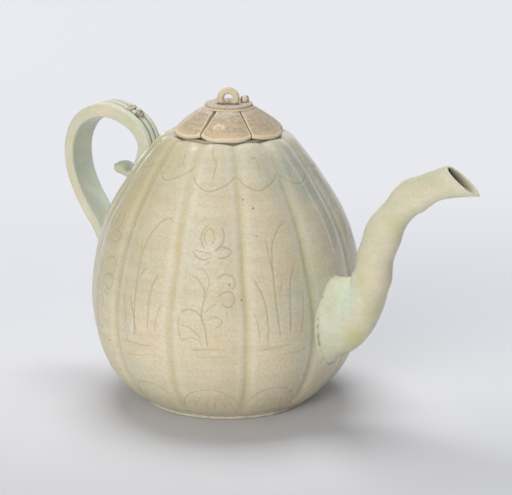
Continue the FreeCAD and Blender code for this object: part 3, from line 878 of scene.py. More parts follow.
def lobePanel(name, cuts):
    # one lobe's wall laid flat, with vertices along every incised line
    form = panelForm
    edge = math.pi / bodyForm["lobes"] * bodyForm["radius"]
    fine, placed = cutLines(cuts)
    placed = placed[np.abs(placed[:, 0]) < edge - form["edgeClear"]]
    grid = panelGrid(edge)
    clear = np.abs(np.abs(grid[:, 0]) - edge) < 1e-6
    for block, gaps in cutGaps(grid, fine):
        clear[block] |= gaps.min(axis=1) > form["lineClear"] ** 2
    points = np.vstack([placed, grid[clear]])
    seen, kept = set(), []
    for index, (x, y) in enumerate(points):
        key = (round(x, 3), round(y, 3), 0)
        if index < len(placed):
            key = (round(x / form["closest"]), round(y / form["closest"]))
        if key not in seen:
            seen.add(key)
            kept.append(index)
    vectors = [Vector(p) for p in points[kept].tolist()]
    flatPoints, _, faces, _, _, _ = delaunay_2d_cdt(vectors, [], [], 0, 1e-4)
    flatPoints = np.array([tuple(p) for p in flatPoints])
    along = flatPoints[:, 1]
    crest, height, groove = (alongProfile(along, values) for values in profilePoints.T)
    slopeR, slopeZ = (alongProfile(along, np.gradient(values, profileAlong))
                      for values in profilePoints.T[:2])
    carve, line = np.zeros(len(along)), np.zeros(len(along))
    for block, gaps in cutGaps(flatPoints, fine):
        near = np.clip(1 - gaps / fine[None, :, 2] ** 2, 0, 1)
        carve[block] = (near * fine[None, :, 3]).max(axis=1)
        line[block] = (near * fine[None, :, 4]).max(axis=1)
    mesh = bpy.data.meshes.new(name)
    mesh.from_pydata([(x * mm, y * mm, 0) for x, y in flatPoints], [], faces)
    for label, values in {
            "turn": flatPoints[:, 0] / bodyForm["radius"], "crest": crest * mm, "height": height * mm,
            "groove": groove, "outR": slopeZ, "outUp": -slopeR, "carve": carve * mm,
            "line": line}.items():
        setFloats(mesh, label, values)
    return mesh


def lobedWallTree():
    # wraps a flat lobe panel round the body, presses the groove in and copies it round
    form = bodyForm
    lengths = [("Groove depth", "grooveDepth"), ("Softening", "softening"),
               ("Channel depth", "channelDepth"), ("Channel width", "channelWidth"),
               ("Flank place", "flankPlace"), ("Flank width", "flankWidth")]
    tree, given, end = newTree("lobedWall", "GeometryNodeTree", [
        ("Geometry", "Geometry", None), ("Lobes", "Int", form["lobes"]), ("First lobe", "Int", 0),
        ("Lobe step", "Int", 1), ("Copies", "Int", 1)]
        + [(label, "Float", form[key] * mm) for label, key in lengths]
        + [("Groove glaze", "Float", form["grooveGlaze"]), ("Flank pale", "Float", form["flankPale"]),
           ("Material", "Material", None)], [("Geometry", "Geometry")])
    turn, crest, height, groove, carve, line, outR, outUp = (
        take(tree, "GeometryNodeInputNamedAttribute", {"Name": label}, data_type="FLOAT")
        for label in ("turn", "crest", "height", "groove", "carve", "line", "outR", "outUp"))
    half = math.pi / given["Lobes"]
    reach = half * crest
    gap = (half - calc("ABSOLUTE", turn)) * crest
    squares = gap**2.0 + given["Softening"] ** 2.0
    share = calc("SUBTRACT", 1.0, calc("SQRT", squares) / reach, clamp=True)
    channel = calc("EXPONENT", (gap / given["Channel width"]) ** 2.0 * -1.0)
    sink = groove * (share**2.0 * given["Groove depth"] + channel * given["Channel depth"])
    radius = crest - sink - carve * outR
    # near the lid, where the wall lies flat, the groove presses down
    flatness = calc("MAXIMUM", outUp, 0.0) ** 4.0
    up = height - (carve + sink * flatness) * outUp
    spot = [radius * calc("COSINE", turn), radius * calc("SINE", turn), up]
    place = take(tree, "ShaderNodeCombineXYZ", spot)
    olive = channel * groove * given["Groove glaze"]
    away = (gap - given["Flank place"]) / given["Flank width"]
    flank = calc("EXPONENT", away * away * -1.0) * groove * given["Flank pale"]
    glazed = given["Geometry"]
    for label, value in (("poolAndShade", line), ("oliveGroove", olive), ("pale", flank)):
        inputs = {"Geometry": glazed, "Name": label, "Value": value}
        glazed = take(tree, "GeometryNodeStoreNamedAttribute", inputs, data_type="FLOAT", domain="POINT")
    wrapped = take(tree, "GeometryNodeSetPosition", {"Geometry": glazed, "Position": place})
    spots = take(tree, "GeometryNodeMeshLine", {"Count": given["Copies"], "Offset": (0, 0, 0)})
    lobe = given["First lobe"] + take(tree, "GeometryNodeInputIndex") * given["Lobe step"]
    spin = take(tree, "ShaderNodeCombineXYZ", {"Z": lobe * (half * 2.0)})
    inputs = {"Points": spots, "Instance": wrapped, "Rotation": spin}
    finishTree(take(tree, "GeometryNodeInstanceOnPoints", inputs), given["Material"], end)
    return tree


def leanGrooves(mesh):
    # bows the lower grooves as on the old pot
    places = readPlaces(mesh)
    x, y = places[:, 0].copy(), places[:, 1].copy()
    lean = bowShift(np.arctan2(y, x), places[:, 2])
    places[:, 0] = x * np.cos(lean) - y * np.sin(lean)
    places[:, 1] = x * np.sin(lean) + y * np.cos(lean)
    mesh.vertices.foreach_set("co", np.ascontiguousarray(places * mm, np.float32).ravel())
    mesh.update()
    return places


def makeBody(materials):
    form, tree, parts = bodyForm, lobedWallTree(), []
    for design, (cuts, lift, (first, step, copies)) in lobeDesigns.items():
        collar = [(mainCut, [(turn, height + lift) for turn, height in collarArc])]
        panel = lobePanel(design, cuts + collar + baseCuts)
        parts.append(applied(tree, design, panel, {
            "First lobe": first, "Lobe step": step, "Copies": copies,
            "Material": materials["bodyGlaze"]}))
        print(design, "wrapped,", len(panel.vertices), "points in its panel")
    body = pieceFromParts("bodyWall", parts)
    mesh = body.data
    places = leanGrooves(mesh)
    x, y, z = places.T
    # painted shade: the side towards the spout and the upper body turn darker and greener, the sage spots
    # darker still
    side = (x * 0.86 + y * 0.22) / form["radius"]
    cool = smoothStep(side, 0.05, 0.95) * 0.28 + smoothStep(z, 135, 165) * 0.22
    setFloats(mesh, "cool", np.clip(cool + spotMask(places, form["sageShade"]), 0, 1))
    # yellower glaze on the lobes turned from the spout and in the grooves; on those lobes the pool colour
    # also lays painted shade, as less light falls there
    turn = np.abs(degreesApart(np.degrees(np.arctan2(y, x)), form["shadedOchreTurn"]))
    ochreAndShade = smoothStep(turn, 70, 18) * smoothStep(z, 60, 105) * (0.55 + 0.45 * smoothStep(z, 100, 150))
    setFloats(mesh, "olive", np.clip(readFloats(mesh, "oliveGroove") + ochreAndShade * 0.66, 0, 1))
    setFloats(mesh, "poolAndShade", np.maximum(readFloats(mesh, "poolAndShade"), ochreAndShade * 0.44))
    # painted highlights on the lobes' crests under the lid, laid into the pale mask
    setFloats(mesh, "pale", np.clip(readFloats(mesh, "pale") + spotMask(places, form["glints"]), 0, 1))
    return body


footForm = {
    "profile": [(47.9, 2.9), (47.75, 1.4), (48.1, 0.5), (49.2, 0.06), (51.5, 0.0), (53.6, 0.08),
                (54.7, 0.45), (55.2, 1.2), (55.3, 2.1), (55.0, 2.9)],
    "columns": 240, "unevenness": 0.10,
}
collarForm = {
    "profile": [(31.4, 174.4), (31.5, 175.2), (31.35, 176.3), (30.8, 176.85), (29.6, 177.0),
                (28.6, 176.95), (27.6, 176.7), (27.1, 176.1), (27.0, 175.2), (27.05, 174.4)],
    "columns": 144,
}


def makeFoot(materials):
    form = footForm
    rows = spun(smoothLine(form["profile"], 0.7), form["columns"])
    bite = unevenness(rows, 9, 21) * form["unevenness"]
    rows = rows * (1 - np.abs(bite)[:, :, None] * 0.004)
    z = rows[:, :, 2]
    worn = np.where(z < 0.5, np.abs(unevenness(rows, 14, 3)) * 0.12, 0)
    z = rows[:, :, 2] = np.clip(z + worn, 0, 2.9)
    foot = skin("footRing", rows, loop=True, tints={
        "poolAndShade": smoothStep(z, 1.9, 2.7) * 0.5 * 0.4,
        "pale": smoothStep(unevenness(rows, 11, 5), 0.3, 1.0) * smoothStep(z, 2.2, 1.0) * 0.6,
        "cool": smoothStep(unevenness(rows, 20, 6), -1.2, 0.4) * smoothStep(z, 0.2, 0.8)})
    return finishPiece(foot, materials["footClay"], "ewer", "foot_clay", "foot_ring")


def makeCollar(materials):
    rows = spun(smoothLine(collarForm["profile"], 0.5), collarForm["columns"])
    poolAndShade = smoothStep(rows[:, :, 2], 175.4, 174.6) * 0.6
    collar = skin("mouthCollar", rows, loop=True, tints={"poolAndShade": poolAndShade, "cool": 0.4})
    return finishPiece(collar, materials["bodyGlaze"], "ewer", "body_glaze", "mouth_collar")


spoutForm = {
    "rows": [  # outward, height, tilt in degrees, half height and half width of the oval
        (82.6, 66.7, 0.0, 29.8, 16.5), (87.0, 68.3, 2.0, 26.8, 15.8), (95.6, 72.0, 14.0, 23.7, 14.8),
        (104.2, 77.7, 20.0, 20.0, 13.8), (110.9, 87.1, 41.0, 13.8, 13.5), (113.1, 95.4, 61.0, 12.6, 12.6),
        (115.1, 100.7, 72.0, 12.2, 12.0), (116.0, 107.5, 76.0, 11.7, 11.7), (117.6, 114.4, 75.0, 11.4, 11.5),
        (119.6, 119.7, 69.0, 11.5, 11.1), (121.9, 126.6, 64.8, 12.2, 10.9), (125.3, 134.0, 60.9, 11.3, 10.6),
        (129.7, 140.6, 55.8, 10.3, 9.9), (134.8, 146.8, 51.6, 10.1, 9.5), (140.2, 152.7, 41.9, 11.0, 9.0),
        (144.3, 155.6, 35.5, 11.3, 8.6), (150.3, 159.1, 29.9, 10.5, 7.9), (157.3, 163.1, 28.6, 9.5, 7.4),
        (164.0, 166.2, 25.0, 9.5, 6.9), (170.4, 168.5, 18.0, 9.9, 6.5), (182.2, 170.6, 13.0, 10.0, 6.3),
        (194.5, 172.2, 13.0, 10.2, 6.1)],
    "boreStart": [(82.6, 63.9, 12.5, 9.0, 9.0), (88.9, 65.4, 16.0, 9.0, 9.0), (96.0, 70.1, 27.0, 9.0, 9.0),
                  (102.7, 77.1, 40.0, 9.0, 9.0), (108.3, 85.9, 52.0, 9.0, 9.0)],
    "plugStart": (70.0, 60.6, 8.0, 9.0, 9.0),
    "boreSkips": 6, "wall": 3.3, "lipWall": 1.7, "lipRound": 0.5,
    "lipUpper": (167.0, 178.0), "lipLower": (190.9, 161.5),
    "columns": 120, "rowCount": 260, "boreRowCount": 110, "spacing": 0.4,
    "flare": 2.0, "flareReach": 5.0, "rootEnd": 112,
    "mint": [(103.0, -11, 91.4, 6, 0.9), (108.1, -13.5, 86.3, 5, 0.55), (102.8, -14, 79, 7, 0.5),
             (97.4, -14.3, 66, 7, 0.35)],
    "yellow": [(109.2, -8.8, 62.6, 6.5, 0.85), (119.5, -6.7, 80.2, 6.5, 0.5), (115.2, -12.2, 98.9, 5, 0.5),
               (117.6, -11.5, 112.2, 5, 0.35), (105.9, -8.4, 56.5, 5, 0.35), (136.1, -8, 137.7, 6, 0.5)],
    "pink": [(124.4, -6.9, 97.8, 7, 0.45), (128.4, -6.9, 117.8, 6, 0.35), (114, -13, 84, 5, 0.3),
             (150, -8, 161, 5, 0.2)],
    "chips": [(96.8, -15, 98.4, 2.2, 0.9)], "chipEdges": [(100.6, -15, 96.4, 2.4, 0.8)],
}


def ovalRows(stations, spacing, columnCount):
    # leaning oval rings along a line of stations
    line = smoothLine(stations, spacing)
    lean = np.radians(line[:, 2])[:, None]
    angle = anglesAround(columnCount)
    tall, wide = line[:, 3][:, None] * np.cos(angle), line[:, 4][:, None] * np.sin(angle)
    x = line[:, 0][:, None] - np.sin(lean) * tall
    z = line[:, 1][:, None] + np.cos(lean) * tall
    return np.stack([x, np.broadcast_to(wide, x.shape), z], axis=2)


def cutAtLip(rows, rowCount, back=0.0):
    # rows spread again so that each column ends on the lip's plane, or that far before it
    upper, lower = np.array(spoutForm["lipUpper"]), np.array(spoutForm["lipLower"])
    run = (lower - upper) / np.linalg.norm(lower - upper)
    beyond = np.array([-run[1], run[0]])
    reach = (rows[:, :, [0, 2]] - upper) @ beyond + back
    last = np.empty(rows.shape[1])
    for column in range(rows.shape[1]):
        over = np.nonzero(reach[:, column] > 0)[0]
        over = over[over > len(rows) // 2][0]
        a, b = reach[over - 1, column], reach[over, column]
        last[column] = over - 1 + a / (a - b)
    share = np.linspace(0, 1, rowCount)[:, None]
    index = share * last.mean() + (last[None, :] - last.mean()) * share**6
    low = np.clip(np.floor(index).astype(int), 0, len(rows) - 2)
    part = (index - low)[:, :, None]
    column = np.arange(rows.shape[1])[None, :]
    return rows[low, column] * (1 - part) + rows[low + 1, column] * part


def spoutRows():
    # the rows outside, over the lip and inside, and the gap from the root to the body's wall
    form, ends = spoutForm, []
    walls = np.linspace(form["wall"], form["lipWall"], len(form["rows"]) - form["boreSkips"])
    bore = [(x, z, tilt, tall - wall, wide - wall)
            for (x, z, tilt, tall, wide), wall in zip(form["rows"][form["boreSkips"]:], walls)]
    for stations, rowCount in ((form["rows"], form["rowCount"]),
                               (form["boreStart"] + bore, form["boreRowCount"])):
        rows = ovalRows(stations, form["spacing"], form["columns"])
        ends += [cutAtLip(rows, rowCount, form["lipRound"]), cutAtLip(rows, rowCount)[-1]]
    outer, full, inner, fullInner = ends
    # a soft fillet where the root meets the wall
    turn = np.arctan2(outer[:, :, 1], outer[:, :, 0])
    gap = np.hypot(outer[:, :, 0], outer[:, :, 1]) - outerRadius(turn, outer[:, :, 2])
    near = np.clip(1 - gap / form["flareReach"], 0, 1) ** 2 * (outer[:, :, 0] < form["rootEnd"])
    away = outer - outer.mean(axis=1, keepdims=True)
    away[:, :, 0] *= 0.3
    away /= np.linalg.norm(away, axis=2, keepdims=True)
    near = near * (1 - 0.75 * smoothStep(away[:, :, 2], 0.2, 0.9))
    outer = outer + away * (near * form["flare"])[:, :, None]
    bumps = unevenness(outer, 34, 11) * 0.22 + unevenness(outer, 9, 12) * 0.05
    outer = outer + rowNormals(outer) * bumps[:, :, None]
    lip = [full + (fullInner - full) * share + (outer[-1] - full) * dip
           for share, dip in ((0.10, 0.45), (0.35, 0.08), (0.65, 0.08), (0.90, 0.45))]
    return outer, np.stack(lip), inner[::-1], gap


def makeSpout(materials):
    form = spoutForm
    outer, lip, inner, gap = spoutRows()
    rows = np.concatenate([outer, lip, inner])
    count, inside = len(outer), len(outer) + len(lip)
    x, z = outer[:, :, 0], outer[:, :, 2]
    upper = np.cos(anglesAround(form["columns"]))
    poolAndShade, pale, cool, olive, blush = (np.zeros(rows.shape[:2]) for _ in range(5))
    pale[count - 1:count + 2] = 0.35
    pale[:count] = spotMask(outer, form["chipEdges"])
    joint = bell(gap, 0.3, 0.6) * (x < form["rootEnd"])
    seam = joint * (0.15 + 0.75 * smoothStep(unevenness(outer, 6, 14), -0.2, 0.7))
    poolAndShade[:count] = seam + spotMask(outer, form["chips"])
    poolAndShade[count - 1] = 0.25
    # painted shade inside the spout: darker further in, and darker on its upper side
    depth = np.arange(len(rows) - inside)[:, None]
    over = 0.75 + 0.25 * upper
    poolAndShade[inside:] = np.clip((0.55 + 0.65 * smoothStep(depth, 0, 8)) * over, 0, 1)
    cool[:count] = smoothStep(x - 0.25 * (z - 70), 108, 94) * 0.35 + spotMask(outer, form["mint"])
    edge = smoothStep(upper, 0.45, 0.95) * smoothStep(unevenness(outer, 15, 61), -0.6, 0.6)
    olive[:count] = edge * smoothStep(x, 104, 116) * 0.25 + spotMask(outer, form["yellow"])
    # painted shade along the top of the spout's upper part
    ridge = smoothStep(upper, 0.35, 0.85) * smoothStep(x, 118, 130) * 0.20
    poolAndShade[:count] = np.maximum(poolAndShade[:count], ridge)
    blush[:count] = spotMask(outer, form["pink"])
    spout = skin("spout", rows, loop=True, tints={
        "poolAndShade": poolAndShade, "pale": pale, "cool": np.clip(cool, 0, 1), "olive": np.clip(olive, 0, 1),
        "blush": blush})
    return finishPiece(spout, materials["spoutGlaze"], "ewer", "spout_glaze", "spout_root", "spout_tube")


def openInlet(body):
    # a plug opens the body's wall into the spout
    rows = ovalRows([spoutForm["plugStart"]] + spoutForm["boreStart"][:2], 1.0, 48)
    plug = skin("borePlug", capped(rows))
    cut = body.modifiers.new("spoutInlet", "BOOLEAN")
    cut.operation = "DIFFERENCE"
    cut.solver = "FAST"
    cut.object = plug
    body.data = evaluatedMesh(body)
    body.data.name = body.name
    bpy.data.objects.remove(plug)


handleForm = {
    "path": [  # outward on the handle's side, height, thickness and width
        (84.9, 68.6, 7.7, 21.5), (88.3, 72.9, 7.6, 21.5), (95.3, 83.8, 7.5, 21.5),
        (103.2, 98.4, 7.6, 21.5), (111.0, 108.9, 7.8, 21.5), (120.3, 122.7, 8.0, 21.2),
        (126.8, 139.1, 8.2, 21.0), (126.3, 157.4, 8.2, 21.0), (122.5, 165.9, 8.6, 20.8),
        (111.2, 176.4, 9.4, 20.0), (94.9, 180.6, 10.0, 18.6), (79.9, 177.1, 9.8, 17.0),
        (68.2, 168.8, 10.0, 15.5), (64.2, 159.7, 10.0, 14.3), (66.3, 150.9, 9.8, 13.2),
        (68.8, 145.6, 9.3, 12.6)],
    "grooveDepth": 1.35, "grooveWidth": 0.62, "crown": 0.75, "edgeRound": 1.7, "underRound": 1.3,
    "edgeDrop": 0.35, "spacing": 1.1,
    "beside": (1.1, 0.75, 0.45),  # places of the close points on both sides of a groove's middle
    "yellow": [(-76.6, -9, 174.9, 6, 0.35), (-71.1, -8.5, 169.5, 5, 0.3), (-88, -9.5, 176, 8, 0.25),
               (-119, -10.6, 150, 9, 0.35), (-126, -10.6, 128, 9, 0.35), (-104, -10.6, 90, 9, 0.3)],
    "orange": [(-94.3, -9.5, 181.5, 6, 0.4), (-100.5, -9.5, 178.7, 6, 0.4),
               (-122.5, -10.7, 115.4, 10, 0.45), (-110, -10.7, 98, 9, 0.4)],
}


def strapSection(thickness, width):
    # across and outward places of one ring, with two grooves on the outer face
    form = handleForm
    half, side, groovePlace = thickness / 2, width / 2, width / 6
    outerRound, innerRound = form["edgeRound"], form["underRound"]
    shoulder = min(1.8, groovePlace * 0.7)
    close = (shoulder,) + form["beside"]
    beside = np.array([-gap for gap in close] + [0] + list(close[::-1]))
    outside = side - outerRound
    across = np.concatenate([
        np.linspace(-outside, -groovePlace - shoulder, 7)[:-1], -groovePlace + beside,
        np.linspace(shoulder - groovePlace, groovePlace - shoulder, 5)[1:-1], groovePlace + beside,
        np.linspace(groovePlace + shoulder, outside, 7)[1:]])
    ridge = np.abs((np.abs(across) + groovePlace) % (2 * groovePlace) - groovePlace) / groovePlace
    groove = bell(np.abs(across), groovePlace, form["grooveWidth"])
    top = half - form["crown"] * ridge**2 * 0.6 - groove * form["grooveDepth"]
    top = top - smoothStep(np.abs(across), groovePlace + 1.2, outside) * form["edgeDrop"]
    turn = np.linspace(0, math.pi / 2, 6)
    outerEdge = top[-1] - outerRound
    corner = [(outside + outerRound * math.sin(a), outerEdge + outerRound * math.cos(a))
              for a in turn[1:]]
    wall = [(side, w) for w in np.linspace(outerEdge, -half + innerRound, 5)[1:-1]]
    under = [(side - innerRound + innerRound * math.cos(a), -half + innerRound - innerRound * math.sin(a))
             for a in turn]
    flat = [(v, -half + 0.25 * (1 - (v / side) ** 2))
            for v in np.linspace(side - innerRound, -side + innerRound, 9)[1:-1]]
    right = corner + wall + under
    left = [(-v, w) for v, w in reversed(right)]
    return np.array(list(zip(across, top)) + right + flat + left)


def strapRows():
    # rings along the strap, the share of groove at each point, the middle line and its outward side
    path = [(-x, z, thick, wide) for x, z, thick, wide in handleForm["path"]]
    line = smoothLine(path, handleForm["spacing"])
    along = np.gradient(line[:, :2], axis=0)
    along /= np.linalg.norm(along, axis=1, keepdims=True)
    out = np.column_stack([-along[:, 1], along[:, 0]])
    rows, grooves = [], []
    for (x, z, thick, wide), outward in zip(line, out):
        across, lift = strapSection(thick, wide).T
        rows.append(np.column_stack([x + outward[0] * lift, across, z + outward[1] * lift]))
        grooves.append(bell(np.abs(across), wide / 6, 0.8) * (lift > 0))
    return np.array(rows), np.array(grooves), line, out


def makeStrap(materials):
    rows, grooves, line, out = strapRows()
    rows = rows + wobble(rows, 40, 31) * 0.16
    x, y, z = np.moveaxis(rows, 2, 0)
    lift = ((rows[:, :, [0, 2]] - line[:, None, :2]) * out[:, None, :]).sum(axis=2)
    cool = smoothStep(-lift, 2.0, 3.6) * 0.9 + smoothStep(lift, 1.0, 3.0) * 0.35
    steep = smoothStep(x, -92, -72) * (z > 140)
    side = smoothStep(np.abs(y), 5.5, 7.5) * smoothStep(np.abs(lift), 4.2, 3.0)
    broken = 0.55 + 0.45 * smoothStep(unevenness(rows, 7, 34), -0.5, 0.5)
    olive = (spotMask(rows, handleForm["yellow"]) + side * 0.12) * broken
    strap = skin("handleStrap", capped(rows), tints={
        "poolAndShade": padded(grooves * (0.75 + 0.25 * steep)), "cool": padded(cool),
        "olive": padded(np.clip(olive, 0, 1)),
        "blush": padded(spotMask(rows, handleForm["orange"]) * broken)})
    return finishPiece(strap, materials["handleGlaze"], "ewer", "handle_glaze", "handle_strap")


curlForm = {
    "stations": [  # outward, middle height and half thickness
        (64.0, 140.9, 9.6), (70.0, 140.0, 7.0), (75.0, 139.2, 4.7), (78.5, 139.0, 3.7), (82.0, 140.3, 4.2),
        (85.5, 141.4, 4.4), (89.5, 141.5, 3.8), (92.2, 141.45, 2.4), (93.2, 141.4, 0.9)],
    "halfWidth": 7.0, "tip": 93.25, "columns": 40, "squareness": 0.8,
    "yellow": [(-84.5, -6.5, 142.0, 4.0, 0.55)],
    # painted shadow in the nook between the curl and the strap
    "dark": [(-79, -5, 142.6, 2.6, 0.7), (-86, 2, 146, 5, 0.35)],
}


def makeCurl(materials):
    form = curlForm
    line = smoothLine(form["stations"], 0.7)
    angle = anglesAround(form["columns"])
    side, lift = (np.sign(value) * np.abs(value) ** form["squareness"]
                  for value in (np.sin(angle), np.cos(angle)))
    beyond = np.clip((line[:, 0] - (form["tip"] - form["halfWidth"])) / form["halfWidth"], 0, 1)
    y = form["halfWidth"] * np.sqrt(np.clip(1 - beyond**2, 0.004, 1))[:, None] * side
    z = line[:, 1][:, None] + line[:, 2][:, None] * lift
    rows = capped(np.stack([-np.broadcast_to(line[:, 0][:, None], y.shape), y, z], axis=2))
    # painted shade: the curl's top, under the strap, is greener and darker; the whole curl is a little
    # darker as well
    curl = skin("handleCurl", rows, tints={
        "cool": smoothStep(np.cos(angle), 0.1, 0.7) * 0.9, "olive": spotMask(rows, form["yellow"]),
        "poolAndShade": np.clip(spotMask(rows, form["dark"]) + 0.14, 0, 1)})
    return finishPiece(curl, materials["handleGlaze"], "ewer", "handle_glaze", "handle_curl")


stubForm = {
    "front": {"node": "tether_stub_front", "radius": 2.75, "across": 1.1, "height": 2.9, "shift": 0.0,
              "seed": 7, "dark": 0.7, "rust": 0.0},
    "rear": {"node": "tether_stub_rear", "radius": 3.0, "across": 2.0, "height": 0.45, "shift": 1.3,
             "seed": 9, "dark": 0.1, "rust": 0.75},
    "sink": 1.2, "columns": 36,
    "spread": (1.0, 1.0, 0.97, 0.92, 0.86, 0.78, 0.6, 0.3, 0.0),
    "lift": (0, 0.2, 0.4, 0.6, 0.78, 0.92, 0.97, 0.95, 0.93),
}


def makeStub(name, materials):
    form, sink = stubForm[name], stubForm["sink"]
    seed, dark, rust = form["seed"], form["dark"], form["rust"]
    low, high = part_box(form["node"])
    middle = (np.array(low) + np.array(high)) / 2 / mm
    _, _, line, out = strapRows()
    nearest = np.argmin(np.hypot(line[:, 0] - middle[0], line[:, 1] - middle[2]))
    (x, z, thick, _), (outX, outZ) = line[nearest], out[nearest]
    outward, side = np.array([outX, 0, outZ]), np.array([0, 1.0, 0])
    forward = np.cross(side, outward)
    base = np.array([x, 0, z]) + outward * (thick / 2 - sink) + np.array([form["shift"], 0, 0])
    angle = anglesAround(stubForm["columns"])
    rise = np.linspace(0, 1, len(stubForm["lift"]))[:, None]
    spread = form["radius"] * np.array(stubForm["spread"])[:, None]
    lift = (form["height"] + sink) * np.array(stubForm["lift"])[:, None]
    rough = 1 + 0.14 * np.sin(3 * angle + seed) + 0.08 * np.sin(7 * angle + rise * 5)
    rows = (base + outward * (lift * (1 + 0.06 * np.sin(5 * angle + seed)))[:, :, None]
            + side * (spread * form["across"] * rough * np.sin(angle))[:, :, None]
            + forward * (spread * rough * np.cos(angle))[:, :, None])
    rows = rows + wobble(rows, 2.2, seed) * 0.14 * rise[:, :, None]
    # painted shadow: the lump's lower part is darkened all round its foot
    root, hollows = smoothStep(rise, 0.5, 0.2), smoothStep(unevenness(rows, 3.2, seed), 0.0, 0.8)
    broken = smoothStep(unevenness(rows, 2.6, seed + 5), 0.35 - rust * 0.7, 0.8)
    masks = {"poolAndShade": np.maximum(root * 0.8, hollows * dark), "pale": broken * (0.35 + rust * 0.8),
             "blush": smoothStep(unevenness(rows, 3.0, seed + 9), 0.1, 0.7) * rust}
    tints = {label: padded(mask, end=False) for label, mask in masks.items()}
    stub = skin("tetherStub" + name.capitalize(), capped(rows, end=False), tints=tints)
    return finishPiece(stub, materials["bareClay"], "ewer", "bare_clay", form["node"])


lidForm = {
    "centre": (1.44, 1.08), "rimRadius": 36.2, "capRadius": 16.6, "rimTop": 178.9, "capBase": 193.3,
    "petals": 6, "turn": 4.0, "notch": 4.0, "notchPower": 2.1, "rimLift": 1.7, "innermost": 13.0,
    "cutDepth": 1.5, "cutHalfWidth": 0.62, "wideCut": 4, "wideCutHalfWidth": 1.65, "bank": 0.2,
    "rimStrength": 0.8, "slopeFall": (0.45, 0.85), "rimFall": 0.35,
    "blister": (294.5, 28.2), "blisterSize": (3.1, 1.9), "chip": (289.0, 35.0), "chipSize": (3.4, 0.7),
    "band": 20.3, "throwing": 2.3,
    "slope": [(0.00, 1.00), (0.22, 0.82), (0.45, 0.61), (0.72, 0.33), (1.00, 0.00)],
    "top": [(0.0, 193.4), (9.0, 193.5), (15.0, 193.8)],
    "rim": [(-0.30, 179.05), (0.0, 178.75), (0.05, 178.2), (0.0, 177.6), (-0.35, 177.12), (-1.0, 177.0)],
    "hollow": [(24.0, 177.0), (21.0, 177.0), (10.5, 188.2), (0.0, 188.2)],
}


def lidRun(radius):
    # 0 at the cap to 1 at the rim
    form = lidForm
    return np.clip((radius - form["capRadius"]) / (form["rimRadius"] - form["capRadius"]), 0, 1)


def lidColumns(radius):
    # turns of all columns at one radius, each with its offset from the nearest cut, that cut's
    # half width and how near it is to the cut
    form = lidForm
    sector = math.pi / form["petals"]
    reach = max(radius, form["innermost"])
    length, run = sector * reach, lidRun(reach)
    columns = []
    for petal in range(form["petals"]):
        middle = math.radians(form["turn"]) + 2 * sector * petal
        for sign in (-1, 1):
            wide = (petal + min(sign, 0)) % form["petals"] == form["wideCut"]
            half = form["cutHalfWidth"] * (1 - 0.2 * run)
            if wide:
                half = form["wideCutHalfWidth"] * (1 - 0.6 * run)
            close = [0, 0.55 * half, 0.88 * half, half + 0.12, half + 0.5, half + 1.0, half + 1.7]
            offset = np.concatenate([close, np.linspace(half + 1.7, length, 18)[1:]])
            chosen = offset[::-sign][:-1]
            turns = middle + sign * sector - sign * chosen / reach
            columns.append([turns, chosen, np.full(len(chosen), half), 1 - chosen / length])
    return np.concatenate(columns, axis=1)


def lidProfile():
    # the lid's section, with the places where its slope starts and ends and its rim ends
    form = lidForm
    wide, tall = form["rimRadius"] - form["capRadius"], form["capBase"] - form["rimTop"]
    slope = [(form["capRadius"] + run * wide, form["rimTop"] + rise * tall)
             for rise, run in form["slope"]]
    slope = smoothLine(slope[::-1], 0.5)
    slope = slope[slope[:, 0] < form["rimRadius"] - 0.6]
    rim = [(form["rimRadius"] + dr, z) for dr, z in form["rim"]]
    under = roundedProfile([rim[-1]] + form["hollow"], 2.5)[1:]
    marks = np.cumsum([len(form["top"]), len(slope), len(rim)])
    return np.vstack([form["top"], slope, rim, under]), marks


def lidRows():
    # rows over the lid from the cap to the hollow, with the glaze in its cuts and pale edges
    form = lidForm
    profile, (slopeStart, slopeEnd, rimEnd) = lidProfile()
    rows, poolAndShade, pale = [], [], []
    for index, (radius, height) in enumerate(profile):
        turns, offsets, halves, shares = lidColumns(radius)
        run = lidRun(radius)
        outside = 1.0 if index < rimEnd else smoothStep(radius, 24, 33)
        notch = form["notch"] * (1 + run) / 2 * min(1.0, radius / form["capRadius"]) * outside
        slot = 1 - smoothStep(offsets, halves * 0.72, halves + 0.1)
        bank = bell(offsets - halves, 0.5, 0.5)
        strength, fall, edge = 0.0, 1.0, 0.0
        if slopeStart <= index < slopeEnd:
            strength = 1.0
        elif slopeEnd <= index < rimEnd:
            strength = form["rimStrength"]
        if index >= slopeEnd:
            fall = form["rimFall"]
        if slopeEnd - 1 <= index < rimEnd:
            edge = 1.0
        depth = slot * form["cutDepth"] * strength * (1 - 0.35 * run) - bank * form["bank"] * strength
        rise = form["rimLift"] * shares**3 * smoothStep(radius, 27, 36)
        reach = radius - notch * shares ** form["notchPower"] - depth * form["slopeFall"][0]
        rows.append(np.column_stack([
            form["centre"][0] + reach * np.cos(turns), form["centre"][1] + reach * np.sin(turns),
            height + rise - depth * form["slopeFall"][1] * fall]))
        poolAndShade.append(slot * strength)
        pale.append(np.clip(bank * 0.8 * strength + edge * 0.7, 0, 1) * (1 - slot))
    rows, poolAndShade, pale = np.array(rows), np.array(poolAndShade), np.array(pale)
    lift = unevenness(rows, 26, 41) * 0.16 + unevenness(rows, 6, 42) * 0.05
    rows[slopeStart:rimEnd, :, 2] += lift[slopeStart:rimEnd]
    return rows, poolAndShade, pale, slice(slopeStart, slopeEnd)


